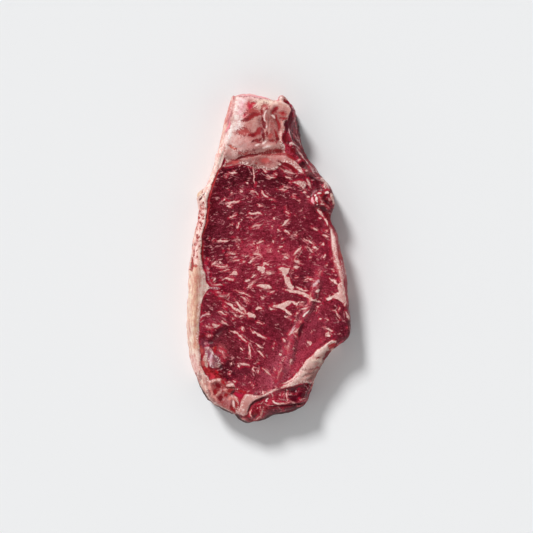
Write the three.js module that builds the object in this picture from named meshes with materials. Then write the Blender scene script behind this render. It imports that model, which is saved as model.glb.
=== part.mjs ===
// A raw sirloin steak as one closed solid: a flat slab of meat, cut face up, lying on a flat base.
// Millimetres, +Z up. +Y points to the tail-fat end, -Y to the chine end, -X to the fat cap and
// +X to the bone side. The origin is the bottom centre of its bounding box.
//
// The form is a grid over the cut face, a band of rings down the rim and a flat base. Four edge
// curves give the rim seen from above; the face is stretched between them, and the rolls of the rim
// and the raised or sunk features of the face are added from the named sizes below.

import * as THREE from 'three';
import { mergeVertices } from 'three/addons/utils/BufferGeometryUtils.js';

// ---- Driving dimensions ----

const THICKNESS = 21.5; // base to the plain lean face
const EDGE_ROLL = { across: 3.2, down: 4.5, flare: 0.6 }; // how the plain rim turns over at the top
const BASE_ROLL = { across: 2.6, down: 4.0 }; // and under at the base
const SHOULDER = THREE.MathUtils.degToRad(50); // how far round the top roll the rim band reaches
const CELLS = { across: 32, along: 70 }; // of the face's grid
const RINGS = { under: 2, wall: 3, over: 2 }; // of the rim's band: base roll, wall and top roll
const CROWDING = 0.3; // 0 spreads the face's grid lines evenly, 1 would crowd them onto the rim
const CURVE_SAMPLES = 400;
const NORMAL_REACH = 4; // neighbours on each side that the rim's direction is taken over
const RELAX_PASSES = 40; // how often the face's grid is evened out

// The rim seen from above: four edges between the corners, each as [x, y] along its curve.
const CORNERS = {
  fatTail: [-25.2, 108.6],
  boneTail: [14.0, 103.0],
  boneChine: [23.8, -97.4],
  fatChine: [-40.3, -91.8],
};
const EDGES = {
  tail: [[-13.0, 108.4], [-2.5, 106.8], [4.4, 104.6], [8.6, 107.2]],
  boneSide: [
    [18.2, 96.7], [21.5, 86.3], [23.0, 77.5], [27.0, 68.0], [33.8, 59.4], [40.3, 48.6], [43.0, 36.4],
    [41.2, 27.0], [45.5, 15.4], [49.5, -2.0], [51.8, -22.0], [54.0, -45.5], [50.6, -53.6],
    [43.0, -58.2], [37.6, -65.0], [31.6, -77.0], [28.4, -86.0],
  ],
  chine: [
    [-31.0, -98.0], [-24.0, -101.4], [-20.2, -106.8], [-14.2, -109.0], [-7.5, -107.8], [4.0, -104.0],
    [16.0, -101.8],
  ],
  fatSide: [
    [-46.4, -80.6], [-51.4, -64.0], [-53.6, -46.0], [-53.6, -26.8], [-52.0, -9.0], [-49.8, 14.0],
    [-45.9, 31.0], [-46.6, 42.0], [-41.2, 49.2], [-36.4, 62.6], [-32.4, 81.0], [-28.4, 97.5],
  ],
};

// Stretches of the rim that roll over more widely, or stand out further at the base, than the rest.
// Each fades out at reach from its line.
const ROLLS = [
  {
    of: 'fat cap', reach: 16, across: 3.2, down: 3.5, flare: 0,
    line: [[-40, 56], [-50, 10], [-54, -30], [-50, -76]],
  },
  {
    of: 'tail, bone side', reach: 17, across: -0.6, down: -1, flare: 6.2,
    line: [[22, 84], [25, 72], [33, 60]],
  },
  { of: 'tail corner', reach: 10, across: 0, down: 0, flare: 3.2, line: [[-25, 104], [-34, 76]] },
  {
    of: 'chine fat wedge', reach: 12, across: 3.5, down: 2.5, flare: 0.6,
    line: [[46, -58], [33, -76], [27, -88]],
  },
  { of: 'side muscle', reach: 11, across: 2, down: 2, flare: 4, line: [[19, -98], [2, -103]] },
  { of: 'chine tip', reach: 8, across: 1.5, down: 2, flare: 4, line: [[-9, -106], [-19, -105]] },
];

// Raised and sunk features of the cut face: rise above the lean along a line, fading over half_width.
const RELIEF = [
  {
    of: 'fat cap', half_width: 5.5, rise: 1.6,
    line: [[-27, 92], [-33, 70], [-40, 50], [-45, 28], [-48, 0], [-50, -40]],
  },
  { of: 'fat cap foot', half_width: 6, rise: 0.8, line: [[-50, -40], [-46, -70], [-34, -90], [-20, -98]] },
  { of: 'tail fat', half_width: 9, rise: 1.8, line: [[-16, 97], [-14, 80], [2, 76]] },
  { of: 'tail fat lobe', half_width: 3.5, rise: 1.3, line: [[-1, 97], [-1.5, 83]] },
  { of: 'tail fat lip', half_width: 4.5, rise: 1.2, line: [[8, 104], [11, 92]] },
  { of: 'dip in the tail fat', half_width: 3.2, rise: -1.4, line: [[-9, 92], [-4, 85]] },
  {
    of: 'seam under the tail fat', half_width: 3, rise: -2.2,
    line: [[-26, 65.4], [-20, 65.4], [-13, 68], [-2, 68.8], [8, 70.2]],
  },
  { of: 'band below the seam', half_width: 4, rise: 1, line: [[-24, 61], [-6, 62.5], [10, 62]] },
  { of: 'kernel of the bone side', half_width: 6.2, rise: 2.6, line: [[35, 38.4]] },
  { of: 'dip beside the kernel', half_width: 4, rise: -1.2, line: [[26, 52], [29, 46]] },
  { of: 'eye of the lean', half_width: 26, rise: 1.1, line: [[-8, 20], [-2, -20], [-6, -55]] },
  {
    of: 'long crease, raised lip', half_width: 3.4, rise: 1.2,
    line: [[31, -11], [25, -29], [15, -44], [12, -62], [4, -80]],
  },
  {
    of: 'long crease, sunk side', half_width: 3, rise: -1,
    line: [[35, -16], [29, -33], [20, -47], [17, -64], [9, -82]],
  },
  { of: 'bone-side seam', half_width: 2.8, rise: 0.9, line: [[37, 24], [42, 14], [46, -8], [47, -24]] },
  { of: 'fold of the silverskin', half_width: 3, rise: -1.7, line: [[-31, -42], [-36, -50], [-41, -54]] },
  { of: 'chine fat wedge', half_width: 4, rise: 1.1, line: [[42, -54], [26, -68], [12, -82], [-6, -90]] },
  { of: 'seam of the side muscle', half_width: 2.8, rise: -1.8, line: [[27, -83], [11, -86], [-4, -92]] },
];

// Slow unevenness of soft meat. A wave runs at turn degrees from +X, and phase says where it begins.
const FACE_SWELLS = [
  { wavelength: 46, height: 0.32, turn: 25, phase: 0.4 },
  { wavelength: 29, height: 0.24, turn: 100, phase: 1.9 },
  { wavelength: 19, height: 0.16, turn: 62, phase: 3.1 },
];
const SIDE_SWELLS = [
  { wavelength: 34, height: 0.55, turn: 40, phase: 0.9 },
  { wavelength: 17, height: 0.4, turn: 118, phase: 2.2 },
  { wavelength: 11, height: 0.22, turn: 75, phase: 4.0 },
];
const SIDE_SLANT = 1.5; // how far the side's swells move along the rim for each mm of height

const MEAT = { color: 0x8e2b36, roughness: 0.42, metalness: 0 };

// ---- Small helpers ----

const { clamp, lerp, smoothstep, degToRad } = THREE.MathUtils;
const vector = ([x, y]) => new THREE.Vector2(x, y);

function distanceToSegment(point, start, end) {
  const along = end.clone().sub(start);
  const share = clamp(point.clone().sub(start).dot(along) / Math.max(along.lengthSq(), 1e-9), 0, 1);
  return point.distanceTo(start.clone().addScaledVector(along, share));
}

function distanceToLine(point, line) {
  const points = line.map(vector);
  if (points.length === 1) return point.distanceTo(points[0]);
  return Math.min(...points.slice(1).map((end, n) => distanceToSegment(point, points[n], end)));
}

function swell(x, y, waves) {
  return waves.reduce((sum, { wavelength, height, turn, phase }) => {
    const along = x * Math.cos(degToRad(turn)) + y * Math.sin(degToRad(turn));
    return sum + height * Math.sin((2 * Math.PI * along) / wavelength + phase);
  }, 0);
}

// ---- The rim seen from above ----

// Moves evenly spread grid lines towards both ends, where the rim turns.
const crowd = (t) => t - (CROWDING * Math.sin(2 * Math.PI * t)) / (2 * Math.PI);

function edgePoints(start, between, end, cells) {
  const curve = new THREE.SplineCurve([start, ...between, end].map(vector));
  curve.arcLengthDivisions = CURVE_SAMPLES;
  return Array.from({ length: cells + 1 }, (_, n) => curve.getPointAt(crowd(n / cells)));
}

// The closed loop, anticlockwise from above, beginning at the fat-side corner of the chine end.
function rimLoop() {
  const { across, along } = CELLS;
  const chine = edgePoints(CORNERS.fatChine, EDGES.chine, CORNERS.boneChine, across);
  const bone = edgePoints(CORNERS.boneTail, EDGES.boneSide, CORNERS.boneChine, along).reverse();
  const tail = edgePoints(CORNERS.fatTail, EDGES.tail, CORNERS.boneTail, across).reverse();
  const fat = edgePoints(CORNERS.fatChine, EDGES.fatSide, CORNERS.fatTail, along).reverse();
  return [chine, bone, tail, fat].flatMap((edge) => edge.slice(0, -1));
}

// The way into the meat at each point, taken over a short stretch so that small bumps don't fold.
function inwardNormals(loop) {
  return loop.map((_, k) => {
    const before = loop[(k + loop.length - NORMAL_REACH) % loop.length];
    const after = loop[(k + NORMAL_REACH) % loop.length];
    const along = after.clone().sub(before).normalize();
    return new THREE.Vector2(-along.y, along.x);
  });
}

// How the rim rolls over at one point: the plain roll plus each stretch that is near.
function rollAt(point) {
  const roll = { ...EDGE_ROLL };
  for (const { line, reach, across, down, flare } of ROLLS) {
    const share = 1 - smoothstep(distanceToLine(point, line), 0, reach);
    roll.across += share * across;
    roll.down += share * down;
    roll.flare += share * flare;
  }
  return roll;
}

// ---- Heights ----

function faceHeight(point) {
  const relief = RELIEF.reduce((sum, { line, half_width, rise }) => {
    const away = distanceToLine(point, line) / half_width;
    return sum + rise * Math.exp(-away * away);
  }, 0);
  return THICKNESS + relief + swell(point.x, point.y, FACE_SWELLS);
}

// One upright section of the rim, from the flat base to the shoulder of the top roll.
// Each step is how far in from the rim it lies, and its height.
function rimSection(roll, top) {
  const wallTop = top - roll.down;
  const steps = (count, make) => Array.from({ length: count }, (_, n) => make((n + 1) / count));
  const under = (share) => {
    const turn = (share * Math.PI) / 2;
    return { inset: BASE_ROLL.across * (1 - Math.sin(turn)), z: BASE_ROLL.down * (1 - Math.cos(turn)) };
  };
  const wall = (share) => ({ inset: 0, z: lerp(BASE_ROLL.down, wallTop, share) });
  const over = (share) => {
    const turn = share * SHOULDER;
    return { inset: roll.across * (1 - Math.cos(turn)), z: wallTop + roll.down * Math.sin(turn) };
  };
  const section = [
    under(0),
    ...steps(RINGS.under, under),
    ...steps(RINGS.wall, wall),
    ...steps(RINGS.over, over),
  ];
  return section.map(({ inset, z }) => ({ inset: inset + roll.flare * Math.min(z / wallTop, 1), z }));
}

// ---- The solid's points ----

function rimBand(loop, rolls) {
  const normals = inwardNormals(loop);
  return loop.map((point, k) => {
    const roll = rolls[k];
    const top = faceHeight(point.clone().addScaledVector(normals[k], roll.across + roll.flare));
    const section = rimSection(roll, top);
    return section.map(({ inset, z }) => {
      const middle = Math.sin((Math.PI * z) / top) ** 2;
      const uneven = middle * swell(point.x, point.y + SIDE_SLANT * z, SIDE_SWELLS);
      const place = point.clone().addScaledVector(normals[k], inset - uneven);
      return new THREE.Vector3(place.x, place.y, z);
    });
  });
}

// The shoulder loop as four edges of the face, each running left to right or chine to tail.
function faceEdges(shoulder) {
  const { across, along } = CELLS;
  const corner = [0, across, across + along, 2 * across + along, shoulder.length];
  const closed = [...shoulder, shoulder[0]];
  const [chine, bone, tail, fat] = corner.slice(0, 4).map((from, n) => closed.slice(from, corner[n + 1] + 1));
  return { chine, bone, tail: tail.reverse(), fat: fat.reverse() };
}

// A sheet stretched between the four edges: the two ruled sheets less the one through the corners.
function stretched({ chine, bone, tail, fat }, i, j) {
  const a = crowd(i / CELLS.across);
  const b = crowd(j / CELLS.along);
  const blend = (p, q, t) => p.clone().lerp(q, t);
  const corners = blend(
    blend(chine[0], chine.at(-1), a),
    blend(tail[0], tail.at(-1), a),
    b,
  );
  return blend(chine[i], tail[i], b).add(blend(fat[j], bone[j], a)).sub(corners);
}

// How far the face still lies below its full height, this far in from the shoulder.
function rollDrop(roll, away) {
  const start = roll.across * (1 - Math.cos(SHOULDER));
  const share = clamp((start + away) / roll.across, 0, 1);
  return roll.down * (1 - Math.sqrt(1 - (1 - share) ** 2));
}

// The face's grid, columns of points, evened out so that no cell folds over beside the rim.
function faceGrid(shoulder) {
  const edges = faceEdges(shoulder);
  const columns = Array.from({ length: CELLS.across + 1 }, (_, i) => i);
  const rows = Array.from({ length: CELLS.along + 1 }, (_, j) => j);
  const grid = columns.map((i) => rows.map((j) => stretched(edges, i, j)));
  for (let pass = 0; pass < RELAX_PASSES; pass += 1) {
    for (const i of columns.slice(1, -1)) {
      for (const j of rows.slice(1, -1)) {
        const around = [grid[i - 1][j], grid[i + 1][j], grid[i][j - 1], grid[i][j + 1]];
        grid[i][j].set(0, 0, 0);
        around.forEach((point) => grid[i][j].addScaledVector(point, 1 / around.length));
      }
    }
  }
  return grid;
}

function setHeight(place, shoulder, rolls) {
  const point = new THREE.Vector2(place.x, place.y);
  const away = shoulder.map((edge) => Math.hypot(edge.x - point.x, edge.y - point.y));
  const nearest = away.indexOf(Math.min(...away));
  place.z = faceHeight(point) - rollDrop(rolls[nearest], away[nearest]);
  return place;
}

// ---- The closed mesh ----

// Where each point of the grid's border lies in the rim's loop; undefined inside the face.
function loopPlace(i, j) {
  const { across, along } = CELLS;
  if (j === 0) return i;
  if (i === across) return across + j;
  if (j === along) return 2 * across + along - i;
  if (i === 0) return 2 * (across + along) - j;
  return undefined;
}

function steakGeometry() {
  const { across, along } = CELLS;
  const loop = rimLoop();
  const rolls = loop.map(rollAt);
  const band = rimBand(loop, rolls);
  const shoulder = band.map((section) => section.at(-1));
  const positions = [];
  const faces = [];
  const add = (point) => positions.push(point.x, point.y, point.z) / 3 - 1;

  const rings = band.map((section) => section.map(add));
  const grid = faceGrid(shoulder).map((column, i) => column.map((place, j) => {
    const k = loopPlace(i, j);
    return k === undefined ? add(setHeight(place, shoulder, rolls)) : rings[k].at(-1);
  }));
  const quad = (a, b, c, d) => faces.push(a, b, c, a, c, d);
  for (let i = 0; i < across; i += 1) {
    for (let j = 0; j < along; j += 1) {
      quad(grid[i][j], grid[i + 1][j], grid[i + 1][j + 1], grid[i][j + 1]);
    }
  }
  const middle = add(new THREE.Vector3(0, 0, 0));
  rings.forEach((ring, k) => {
    const next = rings[(k + 1) % rings.length];
    for (let n = 0; n < ring.length - 1; n += 1) {
      quad(ring[n], next[n], next[n + 1], ring[n + 1]);
    }
    faces.push(middle, next[0], ring[0]);
  });

  const geometry = new THREE.BufferGeometry();
  geometry.setAttribute('position', new THREE.Float32BufferAttribute(positions, 3));
  geometry.setIndex(faces);
  return mergeVertices(geometry, 1e-4);
}

// Puts the middle of the bounding box's underside at the origin.
function standOnOrigin(geometry) {
  geometry.computeBoundingBox();
  const { min, max } = geometry.boundingBox;
  return geometry.translate(-(min.x + max.x) / 2, -(min.y + max.y) / 2, -min.z);
}

const geometry = standOnOrigin(steakGeometry());
geometry.computeVertexNormals();
const steak = new THREE.Mesh(geometry, new THREE.MeshStandardMaterial(MEAT));
steak.name = 'steak';

const group = new THREE.Group();
group.add(steak);

export default group;
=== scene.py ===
"""A raw sirloin steak on a pale floor: one dense mesh that follows the CAD solid, with the marbling,
seams and stains, and some painted highlights and painted shade, laid as distances in millimetres
and coloured by one procedural material.

Lengths are millimetres in the steak's own outline frame, +Y to the tail end and -X to the fat cap,
until build_steak() moves it onto the CAD node and mesh_of() turns it into metres.
Colours are written as 0 to 255 display values and turned into linear light once.
"""

import itertools
import math

import bpy
import numpy as np
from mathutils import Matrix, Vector


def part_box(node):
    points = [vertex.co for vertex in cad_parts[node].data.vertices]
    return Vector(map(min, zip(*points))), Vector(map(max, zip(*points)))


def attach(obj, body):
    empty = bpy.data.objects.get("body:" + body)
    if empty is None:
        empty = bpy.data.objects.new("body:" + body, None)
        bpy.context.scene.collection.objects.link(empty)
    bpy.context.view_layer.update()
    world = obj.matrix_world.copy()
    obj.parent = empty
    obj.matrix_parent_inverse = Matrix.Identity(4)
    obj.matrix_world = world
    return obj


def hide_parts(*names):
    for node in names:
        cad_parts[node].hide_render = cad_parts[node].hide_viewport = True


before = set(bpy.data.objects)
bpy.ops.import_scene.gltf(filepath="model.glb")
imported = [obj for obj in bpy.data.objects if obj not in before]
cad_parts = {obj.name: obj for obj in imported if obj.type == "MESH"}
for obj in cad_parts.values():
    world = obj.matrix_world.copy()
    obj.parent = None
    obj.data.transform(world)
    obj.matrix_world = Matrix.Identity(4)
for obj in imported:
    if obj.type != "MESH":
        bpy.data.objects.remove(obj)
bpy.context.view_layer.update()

MM = 0.001
SEEDS = {"noise": 11, "flecks": 12, "softness": 13, "strands": 14, "cap dashes": 15}

# ---- The form's driving dimensions, the same as the CAD solid's ----

THICKNESS = 21.5
EDGE_ROLL = {"across": 3.2, "down": 4.5, "flare": 0.6}
BASE_ROLL = {"across": 2.6, "down": 4.0}
SHOULDER = math.radians(50)  # how far the rim rolls over before the face begins
CELLS = {"across": 180, "along": 368}
RINGS = {"under": 5, "wall": 10, "over": 6}
BASE_RINGS = 8
CROWDING = 0.12  # how much closer together the grid lines lie near the corners
CURVE_SAMPLES = 400
NORMAL_REACH = 19  # points of the loop to each side that a normal is taken across
RELAX_PASSES = 900
SEARCH_PARTS = 40  # parts that the nearest loop points are searched in, to save memory

CORNERS = {
    "fatTail": (-25.2, 108.6),
    "boneTail": (14.0, 103.0),
    "boneChine": (23.8, -97.4),
    "fatChine": (-40.3, -91.8),
}
EDGES = {
    "tail": [(-13.0, 108.4), (-2.5, 106.8), (4.4, 104.6), (8.6, 107.2)],
    "boneSide": [
        (18.2, 96.7), (21.5, 86.3), (23.0, 77.5), (27.0, 68.0), (33.8, 59.4), (40.3, 48.6),
        (43.0, 36.4), (41.2, 27.0), (45.5, 15.4), (49.5, -2.0), (51.8, -22.0), (54.0, -45.5),
        (50.6, -53.6), (43.0, -58.2), (37.6, -65.0), (31.6, -77.0), (28.4, -86.0),
    ],
    "chine": [
        (-31.0, -98.0), (-24.0, -101.4), (-20.2, -106.8), (-14.2, -109.0), (-7.5, -107.8),
        (4.0, -104.0), (16.0, -101.8),
    ],
    "fatSide": [
        (-46.4, -80.6), (-51.4, -64.0), (-53.6, -46.0), (-53.6, -26.8), (-52.0, -9.0),
        (-49.8, 14.0), (-45.9, 31.0), (-46.6, 42.0), (-41.2, 49.2), (-36.4, 62.6), (-32.4, 81.0),
        (-28.4, 97.5),
    ],
}

# Stretches of rim with another roll: reach, (across, down, flare) added, line.
ROLLS = {
    "fat cap": (16, (3.2, 3.5, 0), [(-40, 56), (-50, 10), (-54, -30), (-50, -76)]),
    "tail, bone side": (17, (-0.6, -1, 6.2), [(22, 84), (25, 72), (33, 60)]),
    "tail corner": (10, (0, 0, 3.2), [(-25, 104), (-34, 76)]),
    "chine fat wedge": (12, (3.5, 2.5, 0.6), [(46, -58), (33, -76), (27, -88)]),
    "side muscle": (11, (2, 2, 4), [(19, -98), (2, -103)]),
    "chine tip": (8, (1.5, 2, 4), [(-9, -106), (-19, -105)]),
}

# Raised and sunk features that the CAD solid has too: half width, rise, line.
RELIEF = {
    "fat cap": (5.5, 1.6, [(-27, 92), (-33, 70), (-40, 50), (-45, 28), (-48, 0), (-50, -40)]),
    "fat cap foot": (6, 0.8, [(-50, -40), (-46, -70), (-34, -90), (-20, -98)]),
    "tail fat": (9, 1.8, [(-16, 97), (-14, 80), (2, 76)]),
    "tail fat lobe": (3.5, 1.3, [(-1, 97), (-1.5, 83)]),
    "tail fat lip": (4.5, 1.2, [(8, 104), (11, 92)]),
    "dip in the tail fat": (3.2, -1.4, [(-9, 92), (-4, 85)]),
    "seam under the tail fat": (3, -2.2, [(-26, 65.4), (-20, 65.4), (-13, 68), (-2, 68.8), (8, 70.2)]),
    "band below the seam": (4, 1, [(-24, 61), (-6, 62.5), (10, 62)]),
    "kernel of the bone side": (6.2, 2.6, [(35, 38.4)]),
    "dip beside the kernel": (4, -1.2, [(26, 52), (29, 46)]),
    "eye of the lean": (26, 1.1, [(-8, 20), (-2, -20), (-6, -55)]),
    "long crease, raised lip": (3.4, 1.0, [(31, -11), (25, -29), (15, -44), (12, -62), (4, -80)]),
    "long crease, sunk side": (3, -1, [(35, -16), (29, -33), (20, -47), (17, -64), (9, -82)]),
    "bone-side seam": (2.8, 0.9, [(37, 24), (42, 14), (46, -8), (47, -24)]),
    "fold of the silverskin": (3, -1.7, [(-31, -42), (-36, -50), (-41, -54)]),
    "chine fat wedge": (4, 1.1, [(42, -54), (26, -68), (12, -82), (-6, -90)]),
    "seam of the side muscle": (2.8, -1.8, [(27, -83), (11, -86), (-4, -92)]),
}

# Finer relief of the looks alone, in the same form.
FINE_RELIEF = {
    "curled end of the tail": (1.6, 0.7, [(5, 106), (9, 106.5), (12.5, 104.6)]),
    "fold behind the curl": (0.9, -0.8, [(6, 103.6), (10, 103.4), (13, 101.6)]),
    "groove of the seam": (
        0.9, -0.3, [(-26, 65.3), (-19, 65.8), (-12, 68.1), (-5, 69), (3, 69.4), (8, 70.5)]
    ),
    "filling of the dip": (3.2, 0.9, [(-9, 92), (-4, 85)]),
    "groove beside the lobe": (0.9, -0.45, [(-4.6, 98), (-3.7, 92), (-2.4, 85.6)]),
    "groove over that lobe": (1.2, -0.3, [(-17, 90.6), (-12, 93.4), (-8, 95.4), (-4.6, 95)]),
    "groove of the right lobe": (0.9, -0.45, [(1.6, 95.5), (4.8, 92), (6.2, 86), (6.6, 78)]),
    "fold of the lobe": (0.7, -0.4, [(-0.4, 97), (0.4, 92), (0, 86), (-0.6, 80)]),
    "swelling right of the groove": (1.3, 0.5, [(8.6, 90), (8.2, 79)]),
    "ridge under the lobes": (1.3, 0.5, [(-8.4, 72.4), (-3, 73.2), (1, 73.8), (4.4, 75)]),
    "groove over the ridge": (0.9, -0.5, [(-10.4, 76), (-6, 77), (-1, 76.8), (4, 76.4)]),
    "wrinkle of the ridge 1": (0.5, -0.35, [(-9, 74.6), (-5, 75.6), (-1, 75.2)]),
    "wrinkle of the ridge 2": (0.5, -0.35, [(-10, 71.8), (-6, 71.6), (-2, 71.4), (3, 71.8)]),
    "wrinkle of the tail 1": (0.7, -0.3, [(-27, 74), (-22, 72.6), (-18, 73)]),
    "wrinkle of the tail 2": (0.8, -0.3, [(-20, 86), (-17, 83), (-14, 82.6)]),
    "swelling of the left field": (5.0, 0.5, [(-21, 76)]),
    "membrane edge": (0.8, 0.7, [(13, 83), (15, 76), (18, 73), (21, 68.5), (27, 61), (31, 54.5)]),
    "hole beside the membrane": (2.2, -1.6, [(21, 64), (22.5, 61.5)]),
    "dent in the red patch": (1.4, -0.7, [(11, 84), (11, 77)]),
    "crescent of the kernel": (1.2, 0.7, [(32, 43), (30.2, 41), (30.2, 38), (31.4, 35.6)]),
    "heart of the kernel": (2.2, -1.5, [(36.6, 40.8), (38, 38)]),
    "dip under the kernel": (2.6, -1.3, [(33.6, 32.4), (37.6, 30.4)]),
    "lip of the crease": (
        2.4, -0.7, [(31, -13), (26.5, -24), (21, -37), (15.5, -46), (13, -56), (11, -67)]
    ),
    "foot of the crease": (2.8, 0.85, [(33, -15), (28, -28), (22, -41), (17, -50), (15, -62), (13, -70)]),
    "cap's inner edge": (0.9, -0.55, [(-28.5, 72), (-33, 58), (-39, 42), (-41, 24), (-43, 8), (-42, -6)]),
    "cap's lower inner edge": (0.9, -0.45, [(-43.5, -28), (-45, -48), (-44, -66), (-39, -82)]),
    "triangle's edge": (0.7, -0.5, [(-41, -4), (-39.5, -11), (-37, -17), (-33, -19)]),
    "filling of the silverskin's fold": (3.0, 1.0, [(-31, -42), (-36, -50), (-41, -54)]),
    "silverskin": (3.2, 0.7, [(-37.5, -59), (-35.5, -66)]),
    "lower edge of the silverskin": (0.9, -0.7, [(-40, -69), (-35, -71.5), (-31, -70)]),
    "upper edge of the wedge": (0.8, -0.5, [(41, -51.6), (33, -56.8), (25, -64), (19, -74), (9, -81)]),
    "ridge of the wedge": (0.9, 0.5, [(28, -65.8), (31.4, -64.8), (34.6, -66.6)]),
    "dent of the wedge": (0.9, -0.6, [(30.6, -63.2), (33.2, -63.8)]),
    "wrinkle of the wedge 1": (0.6, -0.28, [(21.4, -71), (26, -71.8), (30, -70.8), (33.4, -70)]),
    "wrinkle of the wedge 2": (0.6, -0.28, [(22.4, -75.6), (26, -74), (29.6, -73.4), (32, -71.8)]),
    "wrinkle of the wedge 3": (0.6, -0.28, [(25, -78), (28, -76.4), (31, -74)]),
    "swelling of the wedge 1": (0.9, 0.35, [(23, -73.4), (28, -72.6)]),
    "swelling of the wedge 2": (0.9, 0.35, [(24, -76.6), (28.6, -74.8)]),
    "notch of the wedge": (1.1, -0.6, [(25.6, -80.8), (27.6, -82), (30.4, -80.6)]),
    "pale lobe of the chine": (2.4, 0.5, [(-8, -88.6), (-14, -92), (-17, -98.5)]),
    "edge of the pale lobe": (0.9, -0.7, [(-4, -90), (-9.6, -92.6), (-12.4, -96.6), (-14, -101)]),
    "round lobe": (2.6, 1.0, [(-7.5, -98.5)]),
    "groove beside the round lobe": (0.7, -0.7, [(-3.6, -95), (-3.6, -101), (-6, -104)]),
    "lobe of the side muscle 1": (2.6, 0.8, [(5, -89), (9, -89)]),
    "lobe of the side muscle 2": (2.8, 0.8, [(15, -84.5), (21, -86)]),
    "lobe of the side muscle 3": (2.4, 0.7, [(15, -91), (22, -92)]),
    "split of the side muscle": (0.7, -0.8, [(11.5, -84.5), (11.2, -88), (12, -91.5)]),
    "fold of the side muscle": (0.8, -0.9, [(0, -95.6), (10, -94.8), (20, -94), (25, -92.5)]),
    "flap of the cap": (1.4, 0.7, [(-43.4, 48.6), (-46.6, 43)]),
    "gap under the flap": (0.8, -0.9, [(-41.2, 46), (-44.6, 40.8)]),
    "ring of the foot 1": (1.0, 0.5, [(-37.6, -80), (-35, -78), (-31, -78.2), (-29.6, -80)]),
    "ring of the foot 2": (0.9, 0.5, [(-30.6, -85.6), (-26.6, -84.2), (-22.6, -84.6)]),
    "hollow of the foot 1": (1.5, -0.6, [(-34, -81), (-31.8, -83)]),
    "hollow of the foot 2": (2.0, -0.8, [(-31.6, -88.4), (-30, -89.2)]),
    "loop of the foot": (0.8, 0.5, [(-25, -95), (-24.6, -89.6), (-20.4, -90.4), (-19.6, -95)]),
    "hollow in the loop": (0.8, -0.5, [(-24.2, -95.4), (-22, -97.8)]),
    "rim of the foot": (0.7, -0.4, [(-42, -86), (-38.6, -91), (-33, -95), (-25, -99.6)]),
    "ring round the round lobe": (
        0.8, 0.4, [(-11.4, -97.6), (-11.4, -101.6), (-8.6, -103.4), (-5.6, -101)]
    ),
    "groove over the brown tip": (0.8, -0.8, [(-23.4, -101.2), (-18, -102), (-12, -104.4)]),
    "membrane line 1": (0.5, 0.4, [(15.6, 96.4), (17, 90), (18.4, 84), (20.4, 79), (22.4, 74), (25, 69.4)]),
    "membrane line 2": (0.5, 0.4, [(12.8, 103.4), (15, 99.6), (16.8, 95.4), (17.8, 91)]),
    "hollow between the membranes": (1.4, -0.7, [(16.2, 80.4), (18.8, 77)]),
    "pit of the upper right 1": (0.9, -0.7, [(26.6, 55.6), (28.4, 53)]),
    "pit of the upper right 2": (0.8, -0.6, [(34.2, 50.6), (35.2, 50)]),
    "pit of the upper right 3": (0.8, -0.6, [(32, 47.4), (32.2, 46)]),
    "red lens of the bone side": (1.5, -0.5, [(46, 14), (46.8, 8)]),
}

# Slow unevenness: wavelength, height, degrees from +X, phase.
FACE_SWELLS = [(46, 0.32, 25, 0.4), (29, 0.24, 100, 1.9), (19, 0.16, 62, 3.1)]
SIDE_SWELLS = [(34, 0.55, 40, 0.9), (17, 0.4, 118, 2.2), (11, 0.22, 75, 4.0)]
SIDE_SLANT = 1.5  # how far the side's swells move along the rim for each millimetre up

# ---- Fat and marks, with painted highlights and shade, as outlines and strokes ----


def strokes(*rows):
    """Half width and points of each stroke, from rows of the half width and each point's x and y."""
    return [(row[0], list(zip(row[1::2], row[2::2]))) for row in rows]


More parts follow.
